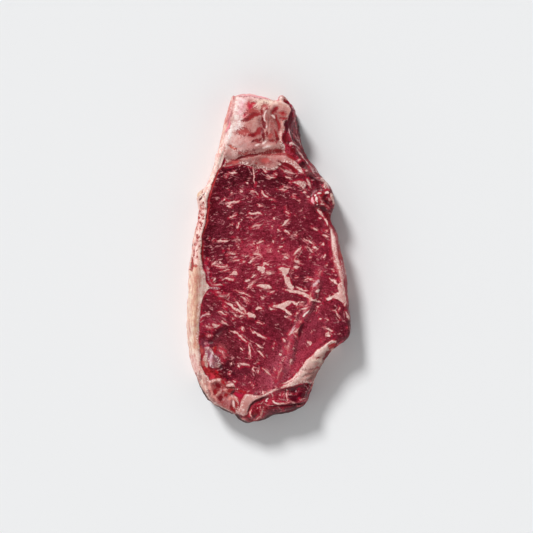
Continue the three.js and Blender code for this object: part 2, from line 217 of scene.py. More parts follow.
# Each area of fat: its tone and its outline.
FAT_AREAS = {
    "fat cap": ("cap", [
        (-22, 112), (-24.5, 96), (-25.5, 86), (-27, 78), (-28, 70), (-30.5, 61), (-34, 56), (-36.6, 50),
        (-38.8, 43), (-40.8, 28), (-41.5, 22), (-43.2, 16), (-43.6, 8), (-43.2, 0), (-42.7, -4.5),
        (-41.3, -9), (-40.4, -15), (-37.5, -18), (-40, -20.5), (-42.5, -24), (-44.2, -30), (-45.2, -45),
        (-45.2, -55), (-44.2, -62), (-43.2, -70), (-40.2, -76), (-39, -84), (-36, -90.5), (-31, -94.5),
        (-25, -97.5), (-20, -101.5), (-20, -112), (-60, -112), (-70, -40), (-70, 60), (-50, 112),
    ]),
    "tail fat": ("tail", [
        (-28, 64), (-30.5, 60.2), (-25, 60.9), (-20, 61.7), (-15, 61.6), (-11.5, 60.4), (-9, 58.7),
        (-5, 58.9), (0, 58.2), (4, 58.4), (6.2, 60), (10.5, 63.2), (14, 62), (17, 59.5), (19, 57.2),
        (23.2, 55.8), (21, 60), (17, 64.5), (12, 68.4), (10.6, 71), (10.6, 74.5), (8.4, 77), (8.4, 80.5),
        (10.4, 84.5), (10.6, 88.5), (12.6, 91.5), (14, 95), (14.2, 98), (12.6, 101.4), (9.6, 102.6),
        (12.8, 104.4), (13, 110), (-24, 112), (-26, 96), (-29, 80), (-30, 70),
    ]),
    "chine wedge": ("wedge", [
        (44.5, -52.3), (41, -52.1), (38.5, -53.6), (36, -55.3), (33.5, -57.4), (30, -59.4), (27.4, -62.4),
        (24.4, -65), (22.8, -67.2), (21.4, -70.2), (19.3, -73.2), (18, -76), (14.8, -78.6), (10.8, -80.8),
        (7, -82.4), (8, -83.7), (12, -82.6), (16, -81.8), (21, -80.4), (24.4, -80.4), (26.2, -81.8),
        (29.5, -80), (33, -79), (36.5, -74), (40, -66), (44, -59.5), (41, -56), (43.6, -54.6),
    ]),
    "bone-side triangle": ("seam", [
        (45, -15.5), (47.5, -13.6), (49.3, -17), (49.9, -22), (50.6, -26.6), (48.2, -28.6), (45.2, -25.8),
        (41.8, -24.8), (39.2, -26.4), (36.8, -25.2), (40, -23.8), (43.2, -21.8), (45.4, -20.8),
        (44.6, -18.2),
    ]),
    "flag": ("marbling", [
        (5.5, -5.4), (9.5, -4.6), (14, -5.3), (12.2, -9), (11.2, -10.6), (9, -10.4), (8.2, -8), (6.5, -6.7),
    ]),
    "middle blob": ("marbling", [
        (2, -29.2), (5, -29), (8, -28.4), (11, -26.8), (15, -27.2), (13.4, -29.3), (10.4, -30.8),
        (12, -33.4), (9.2, -33), (6.4, -31.2), (3.4, -30.6),
    ]),
    "right tail fleck": ("taupe light", [
        (13.6, 50.6), (17, 51.4), (20, 51.6), (23.4, 51.3), (24.6, 49.6), (24.2, 47.2), (22.8, 45.6),
        (21.4, 47.2), (18.6, 48.9), (16, 49.9),
    ]),
    "pale lobe": ("lobe", [
        (-16, -87.6), (-13.8, -86.6), (-10, -87.4), (-5, -87.4), (0, -86), (0.6, -87.2), (-5, -89.4),
        (-9.4, -91.8), (-12.2, -96.2), (-13.8, -101), (-17, -101.8), (-21.6, -99.8), (-19.2, -95),
        (-17.8, -90.6),
    ]),
    "silverskin": ("silver", [
        (-42, -57), (-38.4, -56.6), (-36.2, -59.4), (-34, -61.4), (-31.6, -65), (-30.8, -68),
        (-32.4, -70.2), (-35.4, -70.4), (-38.4, -69.8), (-39.8, -66), (-41.6, -62.6),
    ]),
    "foot": ("foot", [
        (-44, -74), (-39.6, -75.6), (-38.6, -77.6), (-36, -77.2), (-32, -76.8), (-29, -77.6), (-27.6, -80),
        (-22.4, -80), (-21.8, -84.4), (-23.4, -86.6), (-21.4, -88.8), (-19, -90.6), (-19.2, -95),
        (-21, -100.6), (-28, -99), (-37, -93.6), (-42, -86),
    ]),
    "bone rim by the kernel": ("rim", [
        (33.4, 54.6), (35, 55), (37.4, 53), (38.4, 50), (38, 47), (36.4, 45.6), (35.2, 47.4), (35.8, 50.4),
        (33.6, 51.4),
    ]),
}

# Veins and flecks of fat in the lean: half width, x and y of each point. Each thins out at both ends.
MARBLING = strokes(
    # the lean under the tail
    (1.0, -26, 56.8, -20.5, 56.6), (0.75, -11, 60, -9.8, 58.5, -9.5, 55, -9.6, 52, -8.8, 48.5),
    (0.55, -7.8, 58, -7.4, 57), (0.7, -5, 58.5, -2.5, 57.5, -1.5, 56),
    (0.65, -2, 54, 0, 54.3, 1.5, 53.2, 4.5, 53.4), (0.6, 3, 56.3, 5.5, 55.6),
    (0.85, 6, 60.5, 9, 58.8, 13, 57, 18, 55.8), (0.65, 10, 54.5, 13, 53.5, 15, 53),
    (0.65, 9, 48, 11, 47, 12.8, 46.3), (0.65, 4.5, 45.6, 8, 45.8, 10.5, 45.3, 13, 46.2),
    (1.0, -18.8, 45.2, -17.3, 44),
    (0.65, -13.5, 45.5, -12, 45.2, -10, 44, -8.3, 43.8, -7.3, 42, -6.5, 40.5),
    (0.95, -4.8, 45, -3.8, 44, -2.8, 42, -1.5, 41, 0.5, 40.3), (0.5, 0.5, 39.5, 2, 38.8, 3.8, 38),
    (0.9, -28, 37.8, -25.5, 36.3, -23.5, 37.5, -21, 37.5, -18, 38.7), (0.8, -28, 35.5, -24, 34.5),
    (0.75, -7.5, 36.3, -5.5, 35, -3, 34.6),
    (0.8, -13.5, 29.2, -12.8, 30.6, -10, 29.8, -6, 30, -3.5, 29, -3, 28.8),
    (0.5, -13, 28, -11, 27.5, -9.5, 26), (0.65, -26.5, 27, -23.5, 28.5, -20.5, 29.8),
    (0.8, 2.8, 27.3, 4.3, 25.8), (0.75, 10.5, 31, 12, 30.8, 13.8, 29.6), (0.55, 10.3, 34, 11.8, 34),
    (0.5, 3, 34.2, 4, 33.5), (0.85, 13.8, 27, 11.5, 25, 10.5, 23.5, 7, 21.8),
    (0.7, -12.5, 21, -10.5, 21.2, -9, 22.3, -6.5, 22, -5, 22.3, -3, 24.3), (0.75, -20.5, 23.5, -18.5, 23.3),
    (0.75, -19.8, 23, -20, 20), (0.65, -24.5, 24, -23.8, 22), (0.65, -18.5, 27, -17, 25.8),
    (0.8, 21.5, 44, 25, 44), (0.65, 24, 40.5, 27, 40.3), (0.55, 15.5, 42, 18, 40.8),
    (0.55, 18, 38.5, 21, 38.3), (0.65, -13, 52.8, -12.6, 52.6), (0.55, -15, 50.3, -13.5, 50),
    (0.55, -25, 43, -23, 44), (0.55, -27.5, 47.5, -26, 46), (0.5, -15, 41, -14.5, 40.3),
    (0.5, -29, 54, -27, 54.4), (0.5, 21, 33, 22, 32), (0.5, 23, 27.6, 24, 27.6), (0.5, 17, 29.4, 17.8, 29),
    # left of the middle
    (0.55, -36.5, 11.8, -35.5, 12.3), (0.8, -34.5, 13, -33, 12, -29, 12.5, -25, 12.4),
    (0.65, -39.5, 14, -38.3, 14.3), (0.75, -22, 13.5, -20, 13.3, -18, 12.5), (0.55, -26, 7, -25, 7.2),
    (0.55, -30, 5.8, -29, 6), (0.65, -20, 8, -19.5, 9), (0.5, -23, 5.5, -22, 4.5),
    (0.55, -40, 0.6, -38.5, 0.2), (0.75, -36.8, -3.5, -35.5, -2, -34.5, -0.5),
    (0.75, -32.5, -0.3, -31.5, -2.5), (0.75, -37, -3.8, -33, -4, -27, -4),
    (0.55, -31, -6.8, -28, -6.3, -25, -6), (1.0, -26, -9.5, -23.5, -8.8, -21.5, -7.8, -21, -9, -23, -10),
    (0.85, -31, -12.8, -27, -12.3, -23, -12.2, -24.5, -14.5), (0.8, -36.5, -14, -35, -12.5, -34.3, -13),
    (0.55, -26, 3, -23.5, 4, -21, 3), (0.65, -15.5, 2, -14.3, 2.8), (0.7, -22.5, 0, -20, -0.3, -18.5, 0.5),
    (0.75, -18, -0.3, -16.3, -0.8, -15, -1.5), (0.75, -14, -1.5, -12, -1.8, -10.5, -0.5, -9.5, 1),
    (0.95, -10.5, 3.5, -8, 4, -6.3, 3.3, -5.5, 2), (0.9, -7.5, 8.5, -6.8, 7.5), (0.85, -10.5, 10.8, -9, 10),
    (0.75, -8, 11.2, -5, 12, -3, 12.4), (0.6, -7, 6, -7.3, 4.5), (2.3, -4.6, -6.8, -3.2, -7),
    (1.7, -7.5, -5.5, -5, -6, -2.5, -5.5), (1.0, -4, -5, -3, -2, -1, -3.5, 1, -2.5),
    (1.0, -4, -7.5, -5, -9), (1.0, -2, -8, 2, -9), (0.75, -12, -12, -10, -10.5, -8.5, -9.5),
    (0.85, -15.5, -14.5, -13, -13, -12, -13.5), (0.65, -15, -18.5, -12, -16.5, -10, -14.5, -8, -14),
    (1.45, -8.5, -16.5, -5, -16.8, -1, -17.5, 2.5, -18.3), (0.65, 0, -22, 3, -20.5, 5, -19.5),
    (0.65, -24, -19.5, -20, -20.8, -15, -22.2, -10.5, -24.5), (0.65, -19, -23, -15, -26, -11.5, -28.2),
    (0.85, -22.3, -25, -20.5, -28, -18, -31, -15, -33.5, -13.5, -35.5),
    (1.05, -29.5, -26.8, -27, -28, -24, -30, -21, -32, -17.5, -34, -14, -35.5),
    (0.65, -29.5, -29.5, -27.5, -31.5), (1.9, -14, -35, -12, -36, -10, -36.5, -9.5, -38),
    (1.05, -9.5, -32.5, -7.5, -31.2, -4, -31.5), (0.75, -16, -35.5, -20, -37.5),
    (0.75, -22.5, -35, -20, -37.5), (0.75, -33, -33, -30, -34.8, -27, -36),
    (0.85, -31.5, -38.8, -28, -41, -26, -42), (0.65, -42.5, -35.5, -37.5, -35.7),
    (0.7, -44, -39, -42.8, -36, -41, -36.5), (0.65, -24, -37, -22.5, -39),
    (0.75, -8, -40.3, -5, -41.5, -3, -42),
    # right of the middle
    (0.95, 10, 18.5, 11.5, 18.5, 14, 17), (0.65, 15, 16.5, 19, 16), (0.55, 17, 18.2, 18.5, 17.6),
    (0.75, 5.5, 19, 7.5, 19), (0.8, 2, 21.5, 3, 20.5), (0.75, 8, 13.8, 9.8, 13.6),
    (0.75, 2.5, 12.8, 3.2, 11), (1.0, 7.3, 9.5, 8, 8.3, 9.5, 9), (1.0, 6, 5.5, 7.5, 5.8),
    (0.65, 0, 6.3, 2, 5.8), (0.65, -0.3, 8.7, 0.2, 8.6), (0.75, 9.3, 2.5, 11.5, 1.2, 13.5, 0),
    (0.95, 21.5, 8.7, 20, 7.5, 18, 5.5, 17, 4, 17.5, 2.5), (1.15, 16.5, 0.5, 18.5, -1.5, 20.5, -2.5),
    (0.85, 20, -3.8, 18, -4.8, 15.5, -5.3), (0.75, 22.5, 14.5, 24, 12.8, 26.5, 12.3, 28, 11, 30, 9),
    (0.85, 28, 9, 30, 7.5, 32.8, 7.2), (0.75, 25, 9.5, 26.8, 7, 28, 5.2, 29.5, 4), (0.65, 24, 9, 24.3, 6.5),
    (0.85, 35.3, 11.5, 34.8, 9.8, 33, 9.5), (0.6, 31.5, 3.5, 33, 2.8), (0.75, 35, 1, 36.5, 3, 36.8, 4),
    (0.65, 26, 0.5, 26.5, 2, 28.5, 1.5), (0.75, 27.5, 21.5, 30, 20.2, 33, 18.5),
    (0.8, 34.5, 17, 37, 15.5, 39.5, 14.5), (0.6, 36, 19, 39, 18.5),
    (1.9, 10.5, -9.5, 12, -13, 13.5, -16.5, 15.8, -19.6),
    (1.35, 9, -18.7, 13, -20.2, 18, -20.8, 22, -22, 26, -24.5, 29, -25.7, 35, -28.5),
    (0.85, 16.5, -16, 20, -19, 24, -19.8, 26.5, -19.5), (0.6, 16, -11, 19.5, -11.8),
    (0.8, 22.5, -12.8, 25, -12, 27, -12.8, 29.3, -12), (1.3, 30, -20, 32.5, -20),
    (1.2, 32, -13, 31, -14.5, 29.5, -16.5, 28.5, -18), (0.5, 34, -6.5, 32.5, -8.5),
    (0.9, 38.5, -11.5, 41, -13, 43.5, -14.5, 45.5, -16), (0.6, 41, -7.8, 43.5, -7.8),
    (0.5, 37.5, -3, 38.3, -3.5), (0.6, 40.5, 1, 41, 0.3), (0.8, 48.5, -30, 50, -27.5, 51, -26.5),
    (1.0, 50, -33, 51.5, -37, 52, -39), (0.65, 40.5, -32.5, 43, -33, 44.5, -35, 46, -38, 47, -39),
    (0.6, 45.5, -30, 46.5, -32, 44.5, -33), (0.7, 31, -30, 33, -31.3), (0.5, 31.5, -32.5, 30.5, -34),
    (1.0, 33, -37.8, 34, -39), (0.65, 37, -39.3, 39, -39.2), (0.8, 20.5, -32, 23, -31.8, 26, -30.3),
    (0.95, 21.5, -36.8, 24, -34.5, 26.5, -32.3),
    (0.8, 10, -28, 13, -27, 16, -28, 18, -28.8, 21, -27.5, 23, -28.5), (1.0, 9, -32, 12, -34, 15, -36),
    (0.8, 0, -30, 2.5, -32.5), (0.65, 9.5, -36.5, 14, -37), (0.7, 17, -35, 19, -35),
    (0.6, 16, -39.5, 19, -39.3),
    # the lower part
    (0.85, -26, -45.3, -22, -47, -19, -49, -17, -51.5, -14.5, -53, -13, -53.5),
    (0.75, -13, -53.5, -12.3, -57, -12.5, -61, -11, -64.5),
    (0.75, -13, -43.5, -11, -46, -8, -48.5, -5, -49.8, 0, -51), (0.95, -18, -43.5, -17, -44, -17, -46.5),
    (0.7, -9, -54, -6, -55.5, -3.5, -57.5), (0.8, -8.5, -58, -6, -60, -4, -62, -2, -63.5),
    (0.7, -18.5, -57, -16, -59), (0.9, -20.5, -66.5, -17, -68, -15, -67.5, -12, -69),
    (0.9, -20.5, -68, -19.5, -69.5), (0.7, -9.5, -69, -9.8, -71, -9.3, -73.5), (0.6, -7.5, -71, -6.5, -74),
    (0.9, -4, -70, -1.5, -72, 0, -73.5, 2.5, -75.5), (0.7, -25.5, -73, -25.3, -75),
    (0.5, -24.3, -66, -24, -69), (1.0, -12, -79, -11.8, -79.5), (0.6, -15.5, -76, -14.8, -76.3),
    (1.1, -27.5, -81, -25, -81, -22.5, -80.7), (0.6, -23, -78.8, -21, -79.5), (0.6, -20.5, -83, -20, -85),
    (0.5, -9.5, -81, -11, -82.5), (0.8, -4.5, -84.5, -3.5, -87), (0.6, -8.5, -66, -6.5, -67),
    (0.8, 3, -54, 4.5, -55), (0.6, 2, -56.5, 3.5, -58), (0.9, 7, -60, 8, -62), (0.8, 9, -51, 11, -53),
    (0.6, 9.5, -56.5, 12, -57), (0.6, 15.5, -57, 17.5, -57.5), (0.7, 14, -63.5, 14, -66, 14.5, -69),
    (0.6, 8, -65.5, 11, -64.5), (0.5, 4, -71, 5, -73), (0.9, 25, -53, 27.5, -54, 26.5, -55.5),
    (0.5, 33, -52, 33.4, -52.2), (0.9, 36.5, -49, 38, -47, 39, -49, 36, -49.5),
    (0.6, 36, -43.5, 39, -45.3, 42, -47), (0.6, 46, -47.5, 46.3, -49), (0.6, 51, -44, 51.2, -44.6),
    (0.5, 18, -61, 18.5, -61.5), (0.5, 27, -46, 28.5, -47),
    (0.8, 17, -43.5, 15.5, -46.5, 13.5, -49, 14, -50),
    (0.7, 21, -42, 18, -46, 16, -48, 17, -50, 19.5, -50.5), (0.8, 6, -82.8, 3, -84.5, 0, -86, -3, -87.5),
    # the side muscle and the chine end
    (0.6, 11.5, -85, 11, -88, 12, -91, 10.5, -92.5), (0.5, 12, -87.5, 16, -88.5, 18, -87.5),
    (0.6, 14, -92.5, 16.5, -93, 18.5, -95), (0.8, 2, -91.5, 4.5, -93, 8, -93.5, 13, -92.5),
    (0.45, 20, -90, 25, -90.5), (0.7, 25, -81, 27, -82.5, 28.5, -84, 27, -88),
    (0.6, -11, -96, -12, -100, -10, -103), (0.6, -4, -96, -4.5, -101, -6, -104),
    # thin threads between the larger veins of the middle
    (0.42, -6.9, 8.6, -6.8, 6, -6.6, 3.6), (0.36, -10.5, 3.4, -13, 2.8, -16.4, 2.4, -19.2, 3),
    (0.42, -6.2, 3.2, -4.8, 2.2, -4.4, 1), (0.45, -7.6, 3, -9.6, 1.2, -11.6, -0.8, -13.2, -2),
    (0.34, -12.5, -2, -10, -3.6, -7, -5.6), (0.4, -2, -7, 1, -8.4, 2.4, -8.2),
    (0.34, -14.6, -18, -11.8, -15.8, -9.2, -13.8), (0.32, -13, -18.8, -10.4, -16.6),
    (0.42, 17.4, 2.6, 16.6, 0.4, 18, -1.4), (0.36, 21.8, 9.2, 20.4, 7.2, 18.6, 6.2),
    (0.34, 10.4, 3.6, 12.6, 2.2), (0.36, -24.6, -32.4, -21, -34, -18, -35.4),
    (0.34, -20.4, -29.4, -17.6, -31.8), (0.4, 0.6, -30, 3, -31.6, 5.4, -32.6),
    (0.36, 2.6, -28.6, 5.4, -30.2), (0.36, 15.2, -31.8, 19, -31, 23, -29.4), (0.34, 18, -33.6, 22, -32.6),
    (0.4, -30, -3.9, -26.6, -3.5), (0.34, 2.6, 13.6, 2.9, 10.8), (0.32, -0.8, 5.9, 1.7, 5.9),
    (0.36, -24, 14.8, -19.4, 13.2, -17, 12), (0.34, -21, 12.8, -20.2, 8), (0.34, -27.6, 3, -22.6, 5.6),
    (0.36, -27, 0.4, -22, -0.4, -19.4, -0.2), (0.4, 9.4, -8.6, 7.6, -8, 6.4, -8.2),
    (0.4, 13.6, -8.2, 15.4, -7, 17, -6.2), (1.2, -37, -41.4, -34.4, -42.4), (0.8, -30, 39.6, -28, 38.6),
    (0.6, -26, -21, -27.4, -25), (0.7, -6, -24, -3, -24.6), (0.7, 39, -23.4, 41, -25),
    (0.6, 33.6, -57, 35, -58),
)

# Strokes of fat in other tones, with painted highlights among them, laid over the marbling in this order.
TONED_STROKES = [
    # the side muscle and the chine end
    ("marbling", strokes(
        (0.5, 8, -83.4, 4, -84.8, 0, -86.4, -5, -88),
        (0.9, 30, -61, 25, -65.2, 20, -72.4, 16, -77.2, 11, -80, 7, -80.8),
    )),
    # painted highlights: the white and pale glints on the side muscle's wet lobe and on its split
    ("pale", strokes((0.55, -2.8, -91.7, -0.8, -91.9))),
    ("white", strokes((0.6, -2.4, -91.7, -1.4, -90.6, -0.4, -89.4), (0.7, 11.4, -84, 12.4, -85.2))),
    ("pale", strokes(
        (0.45, 1.8, -91.2, 3.8, -92.8, 6, -93.6), (0.45, 1.2, -85.6, 2.4, -87.8, 2, -89.2),
        (0.4, 6.2, -87, 7.4, -88), (0.4, 8.6, -86.4, 9.4, -87, 8.6, -88.4), (0.45, 1.4, -94.4, 3.4, -95),
        (0.4, -7.8, -96.8, -7, -95.8), (0.4, -5.8, -96.4, -5.2, -95.2),
    )),
    ("marbling", strokes(
        (0.4, -8, -94, -5, -93.6, -3.6, -91.4), (0.35, -2.6, -93.4, -1, -94.4, 0.6, -93.2),
    )),
    ("pink", strokes(
        (0.35, 20, -91.4, 25, -91.6), (0.5, 17.4, -83.2, 18.6, -83.8), (0.35, 7.4, -96.6, 8.8, -98.8),
    )),
    ("lobe", strokes((0.45, 6, -94.4, 10, -93.6, 14, -92.4, 17, -93.6, 19, -95.2, 23, -95))),
    ("loop", strokes((0.9, 27.4, -82.6, 28.6, -85, 26.8, -89))),
    ("pink", strokes((0.7, 26.8, -79.2, 28.2, -79.6))),
    ("loop", strokes(
        (0.7, -12, -97, -12.2, -101.4), (0.8, -4.6, -97, -5.2, -101.4, -8, -103.8, -11.4, -104.2),
    )),
    ("lobe", strokes((0.9, -14, -105.4, -9, -106.4, -4, -105))),
    ("brown", strokes((2.6, -21, -103.8, -18, -105.4, -14, -106))),
    ("loop", strokes((0.5, -18.6, -103, -16.4, -104.2))),
    # the foot
    ("loop", strokes((0.9, -26.4, -90.6, -24.4, -89.4, -21.4, -90, -20, -92.6))),
    ("pale", strokes((0.5, -23, -91.6, -22.8, -96), (0.5, -17.4, -96.6, -16.4, -97.8))),
    ("loop light", strokes(
        (0.8, -37.4, -79.2, -35, -78, -32, -78, -30.4, -79.2),
        (0.7, -38.8, -79, -38.4, -84, -36.6, -88, -33.8, -91.4),
        (0.8, -35, -88.4, -33.4, -86.8, -31.4, -86),
    )),
    ("loop", strokes((1.3, -29, -84.8, -25.6, -84.6, -23.4, -85.6))),
    ("marbling", strokes(
        (0.7, -27.6, -81.4, -25, -81, -22.8, -80.8), (0.4, -27.6, -79.4, -25, -78.8),
        (0.5, -23.4, -78.4, -21, -79.2),
    )),
    ("rim light", strokes(
        (0.5, -45.6, -76, -42.6, -83, -38.6, -90), (0.5, -36, -93.2, -30, -96.4, -24, -99.2),
    )),
    # the silverskin and round it
    ("rim light", strokes((1.3, -41.8, -61.6, -41.2, -66, -39.6, -70.6))),
    # painted highlight: a light silver glint along the silverskin
    ("silver glint", strokes((0.45, -36.6, -60, -37.4, -63, -37.6, -66, -38.8, -68.8))),
    ("taupe", strokes((2.0, -32.8, -66.6, -33, -68.4))),
    ("taupe light", strokes((0.5, -34.6, -69, -32.6, -70, -31, -68.4))),
    ("blush", strokes((1.0, -32.8, -57.6, -30, -60.4, -28.4, -64.4))),
    ("pale", strokes((0.8, -38.9, -48.8, -38.2, -49.3))),
    ("blush", strokes((1.1, -41, -48.4, -37, -49.4))),
    ("marbling", strokes((0.8, -37, -43.8, -34.4, -43.2, -31, -41.6))),
    ("blush", strokes((1.2, -42, -42, -37, -45))),
    # painted highlight along the lean's edge by the cap
    ("glint", strokes((0.4, -41, -35.4, -44, -37.6, -44.8, -42))),
    ("silver", strokes((0.7, -41.4, -2.6, -40.4, -6, -39.6, -10, -38.8, -13.4, -36.6, -16, -32, -17.2))),
    # painted highlight along the silverskin strip
    ("glint", strokes((0.35, -40.2, -3.4, -39.2, -6.6, -38.8, -9.4))),
    ("silver", strokes((1.3, -38.6, -17.6, -35, -18.6, -31, -18.4))),
    ("marbling", strokes((0.6, -35.6, -16.2, -32.4, -15.8, -29.6, -16.4))),
    ("blush", strokes((0.9, -35, -20.4, -30.4, -21.8))),
    ("taupe", strokes((1.0, -34, -23.4, -30, -23.6, -26.6, -22.8))),
    # the tail end
    # painted highlights on the tail fat: the white glint, and the pale streaks along its lobes and ridge
    ("white", strokes((0.45, -1.5, 87, -1.8, 86))),
    ("pale", strokes(
        (0.28, -2, 97.4, -3, 93.6, -2.4, 90), (0.4, 2, 94.4, 4, 92), (0.4, -4, 72.8, -1, 73.6, 1, 73.8),
        (0.45, -4.2, 75.6, -1.6, 76.8), (0.35, -9, 74, -6.4, 75), (0.6, 5.5, 104.4, 8.5, 105.4),
    )),
    ("loop light", strokes((0.6, 8.6, 90.4, 9.4, 85, 7.8, 80, 8, 77))),
    ("pink white", strokes((0.4, 13.2, 73.4, 14.8, 74.4))),
    # the kernel and round it
    # the white crescent and the white and pale strokes over the kernel's top are painted highlights
    ("pink white", strokes((1.2, 28.2, 41, 28.2, 38.6, 29.4, 36))),
    ("white", strokes((0.9, 30.6, 42.2, 29.8, 41), (0.85, 30.9, 41, 30.9, 38.8, 31.5, 36.8))),
    ("pale", strokes((0.6, 31.4, 36.2, 32, 35.4))),
    ("white", strokes((0.8, 31.4, 42.8, 34, 43.2))),
    ("pale", strokes((1.0, 35.6, 43, 37.8, 43.8, 39.4, 43.2))),
    ("rim light", strokes((1.2, 40.2, 43.4, 41.6, 41, 42, 38.4, 41.6, 36), (0.45, 42.2, 35, 42.8, 33.2))),
    ("rim", strokes((0.8, 39.6, 41, 40, 38))),
    ("taupe light", strokes((0.9, 34.8, 38.6, 34.2, 36, 37, 36), (0.6, 37, 36, 39.6, 33.6))),
    ("pink", strokes((1.2, 32.8, 41.6, 33.8, 39.6))),
    ("marbling", strokes(
        (0.8, 31.4, 33, 32.6, 31.4, 34.6, 29.6, 36, 27.6), (0.9, 36, 27.6, 37.6, 25, 38.6, 22),
    )),
    ("pale", strokes((0.6, 32.2, 27.3, 34.6, 27.2))),
    # the long crease
    # the light silver, pale and white strokes along the crease are painted highlights
    ("silver glint", strokes((0.5, 32, -12, 32.4, -14.8), (0.5, 30.4, -13.6, 29.6, -16.4, 28.2, -18.6))),
    ("pale", strokes((0.5, 27, -25, 28.4, -26))),
    ("loop", strokes((0.8, 27.2, -21, 26.8, -25, 26.2, -29))),
    ("white", strokes((0.5, 26.6, -32, 24.4, -34.4, 21.4, -36.8))),
    ("silver glint", strokes((0.55, 17.4, -42, 15.8, -44.4, 14.8, -46.8, 15.2, -48.6))),
    ("marbling", strokes((0.5, 12.4, -48, 14.8, -49.2))),
    ("loop", strokes((0.7, 21.6, -38.6, 19.6, -41.4), (0.5, 19.6, -46, 17, -48.4))),
    ("blush", strokes(
        (0.9, 33.6, -7.6, 32, -10.6), (1.0, 13.4, -52, 12.6, -57, 12, -61), (1.0, 9, -68, 7, -73, 5, -78),
    )),
    # the seams of the bone side
    ("strip", strokes((2.2, 39.4, 23, 41.4, 17, 42.8, 8, 44, 0, 46, -7, 47.6, -16))),
    ("seam", strokes((1.0, 39, 21, 40.8, 17.8, 41.9, 13, 42.5, 9, 42.8, 5, 42.7, 2.5))),
    ("pale", strokes((0.35, 40, 19.4, 41.4, 15, 42, 9))),
    ("seam", strokes((1.2, 43.4, 2.4, 45, -1.5, 46.2, -4, 47.4, -8, 48, -12, 48, -16, 47.6, -20))),
    # the second pale stroke, at the crease's top, and the glints below are painted highlights
    ("pale", strokes((0.7, 36.9, -25.2, 38.6, -26, 40.4, -24.6), (1.1, 29.6, -20.3, 32.2, -20.2))),
    ("glint", strokes((0.5, 31, -12.8, 32.2, -14.4), (0.4, 30, -14.8, 29.2, -17, 28.4, -18.4))),
    ("blush", strokes((0.9, 45, -55.5, 48.5, -55))),
    ("grey", strokes(
        (1.2, 24.4, 58.8, 25, 57.4), (1.2, 24.6, 53.6, 25.8, 50.6, 27.2, 47.2),
        (1.0, 17, 62.6, 19, 58.8, 22.6, 56),
    )),
    ("pale", strokes((0.6, 19.6, 58, 21, 56.8))),
    ("grey", strokes((0.6, 6, 61, 9, 59.2, 12.6, 57.6, 17.4, 55.8), (0.5, 6, 64, 10, 61.8, 14, 60.4))),
    # membranes over the side of the tail
    ("pink white", strokes((1.0, 19.2, 66, 19, 64.2))),
    ("rim", strokes((1.0, 33.6, 53.8, 36.6, 53.4, 37.8, 50.6))),
    ("pale", strokes(
        (0.5, 33.8, 53.6, 34.6, 53.8), (0.45, 36, 53.9, 36.6, 53), (0.45, 34.8, 48.6, 35.3, 48),
    )),
    ("membrane", strokes((0.65, 14.2, 97, 14.2, 92, 12.6, 88.4, 13.2, 82, 14.6, 77))),
    ("membrane light", strokes(
        (0.78, 13.2, 74.6, 14.6, 75.8, 16.6, 74),
        (0.78, 16.6, 74, 19, 71.4, 21.6, 68.2, 24, 65.6, 26.4, 62),
    )),
    ("membrane", strokes(
        (0.78, 26.4, 62, 28.8, 58.8, 31.4, 54.8),
        (0.59, 15.6, 96.4, 17, 90, 18.4, 84, 20.4, 79, 22.4, 74, 25, 69.4),
        (0.52, 13, 86.6, 14.4, 83.4, 17.4, 81.6, 20.4, 77.2, 23, 71.4),
        (0.52, 12.8, 103.4, 15, 99.6, 16.8, 95.4, 17.8, 91),
    )),
    ("membrane light", strokes((0.45, 13.2, 83.4, 15.2, 80.6, 17.2, 76.2, 19.8, 72.6))),
    ("membrane", strokes(
        (0.59, 30.6, 58.2, 31.6, 59, 33, 60), (0.59, 26.8, 66, 29.6, 62.6, 31.4, 60.4),
        (0.65, 27.6, 62.8, 29.4, 60.6, 30.6, 57.6, 31.8, 54.6), (0.65, 38, 49.6, 38.8, 47, 38.4, 45.6),
    )),
    ("pink", strokes((0.9, 46.6, 3, 48, -6, 49.6, -14), (0.8, 43.4, 18, 44.8, 12, 45, 8))),
]
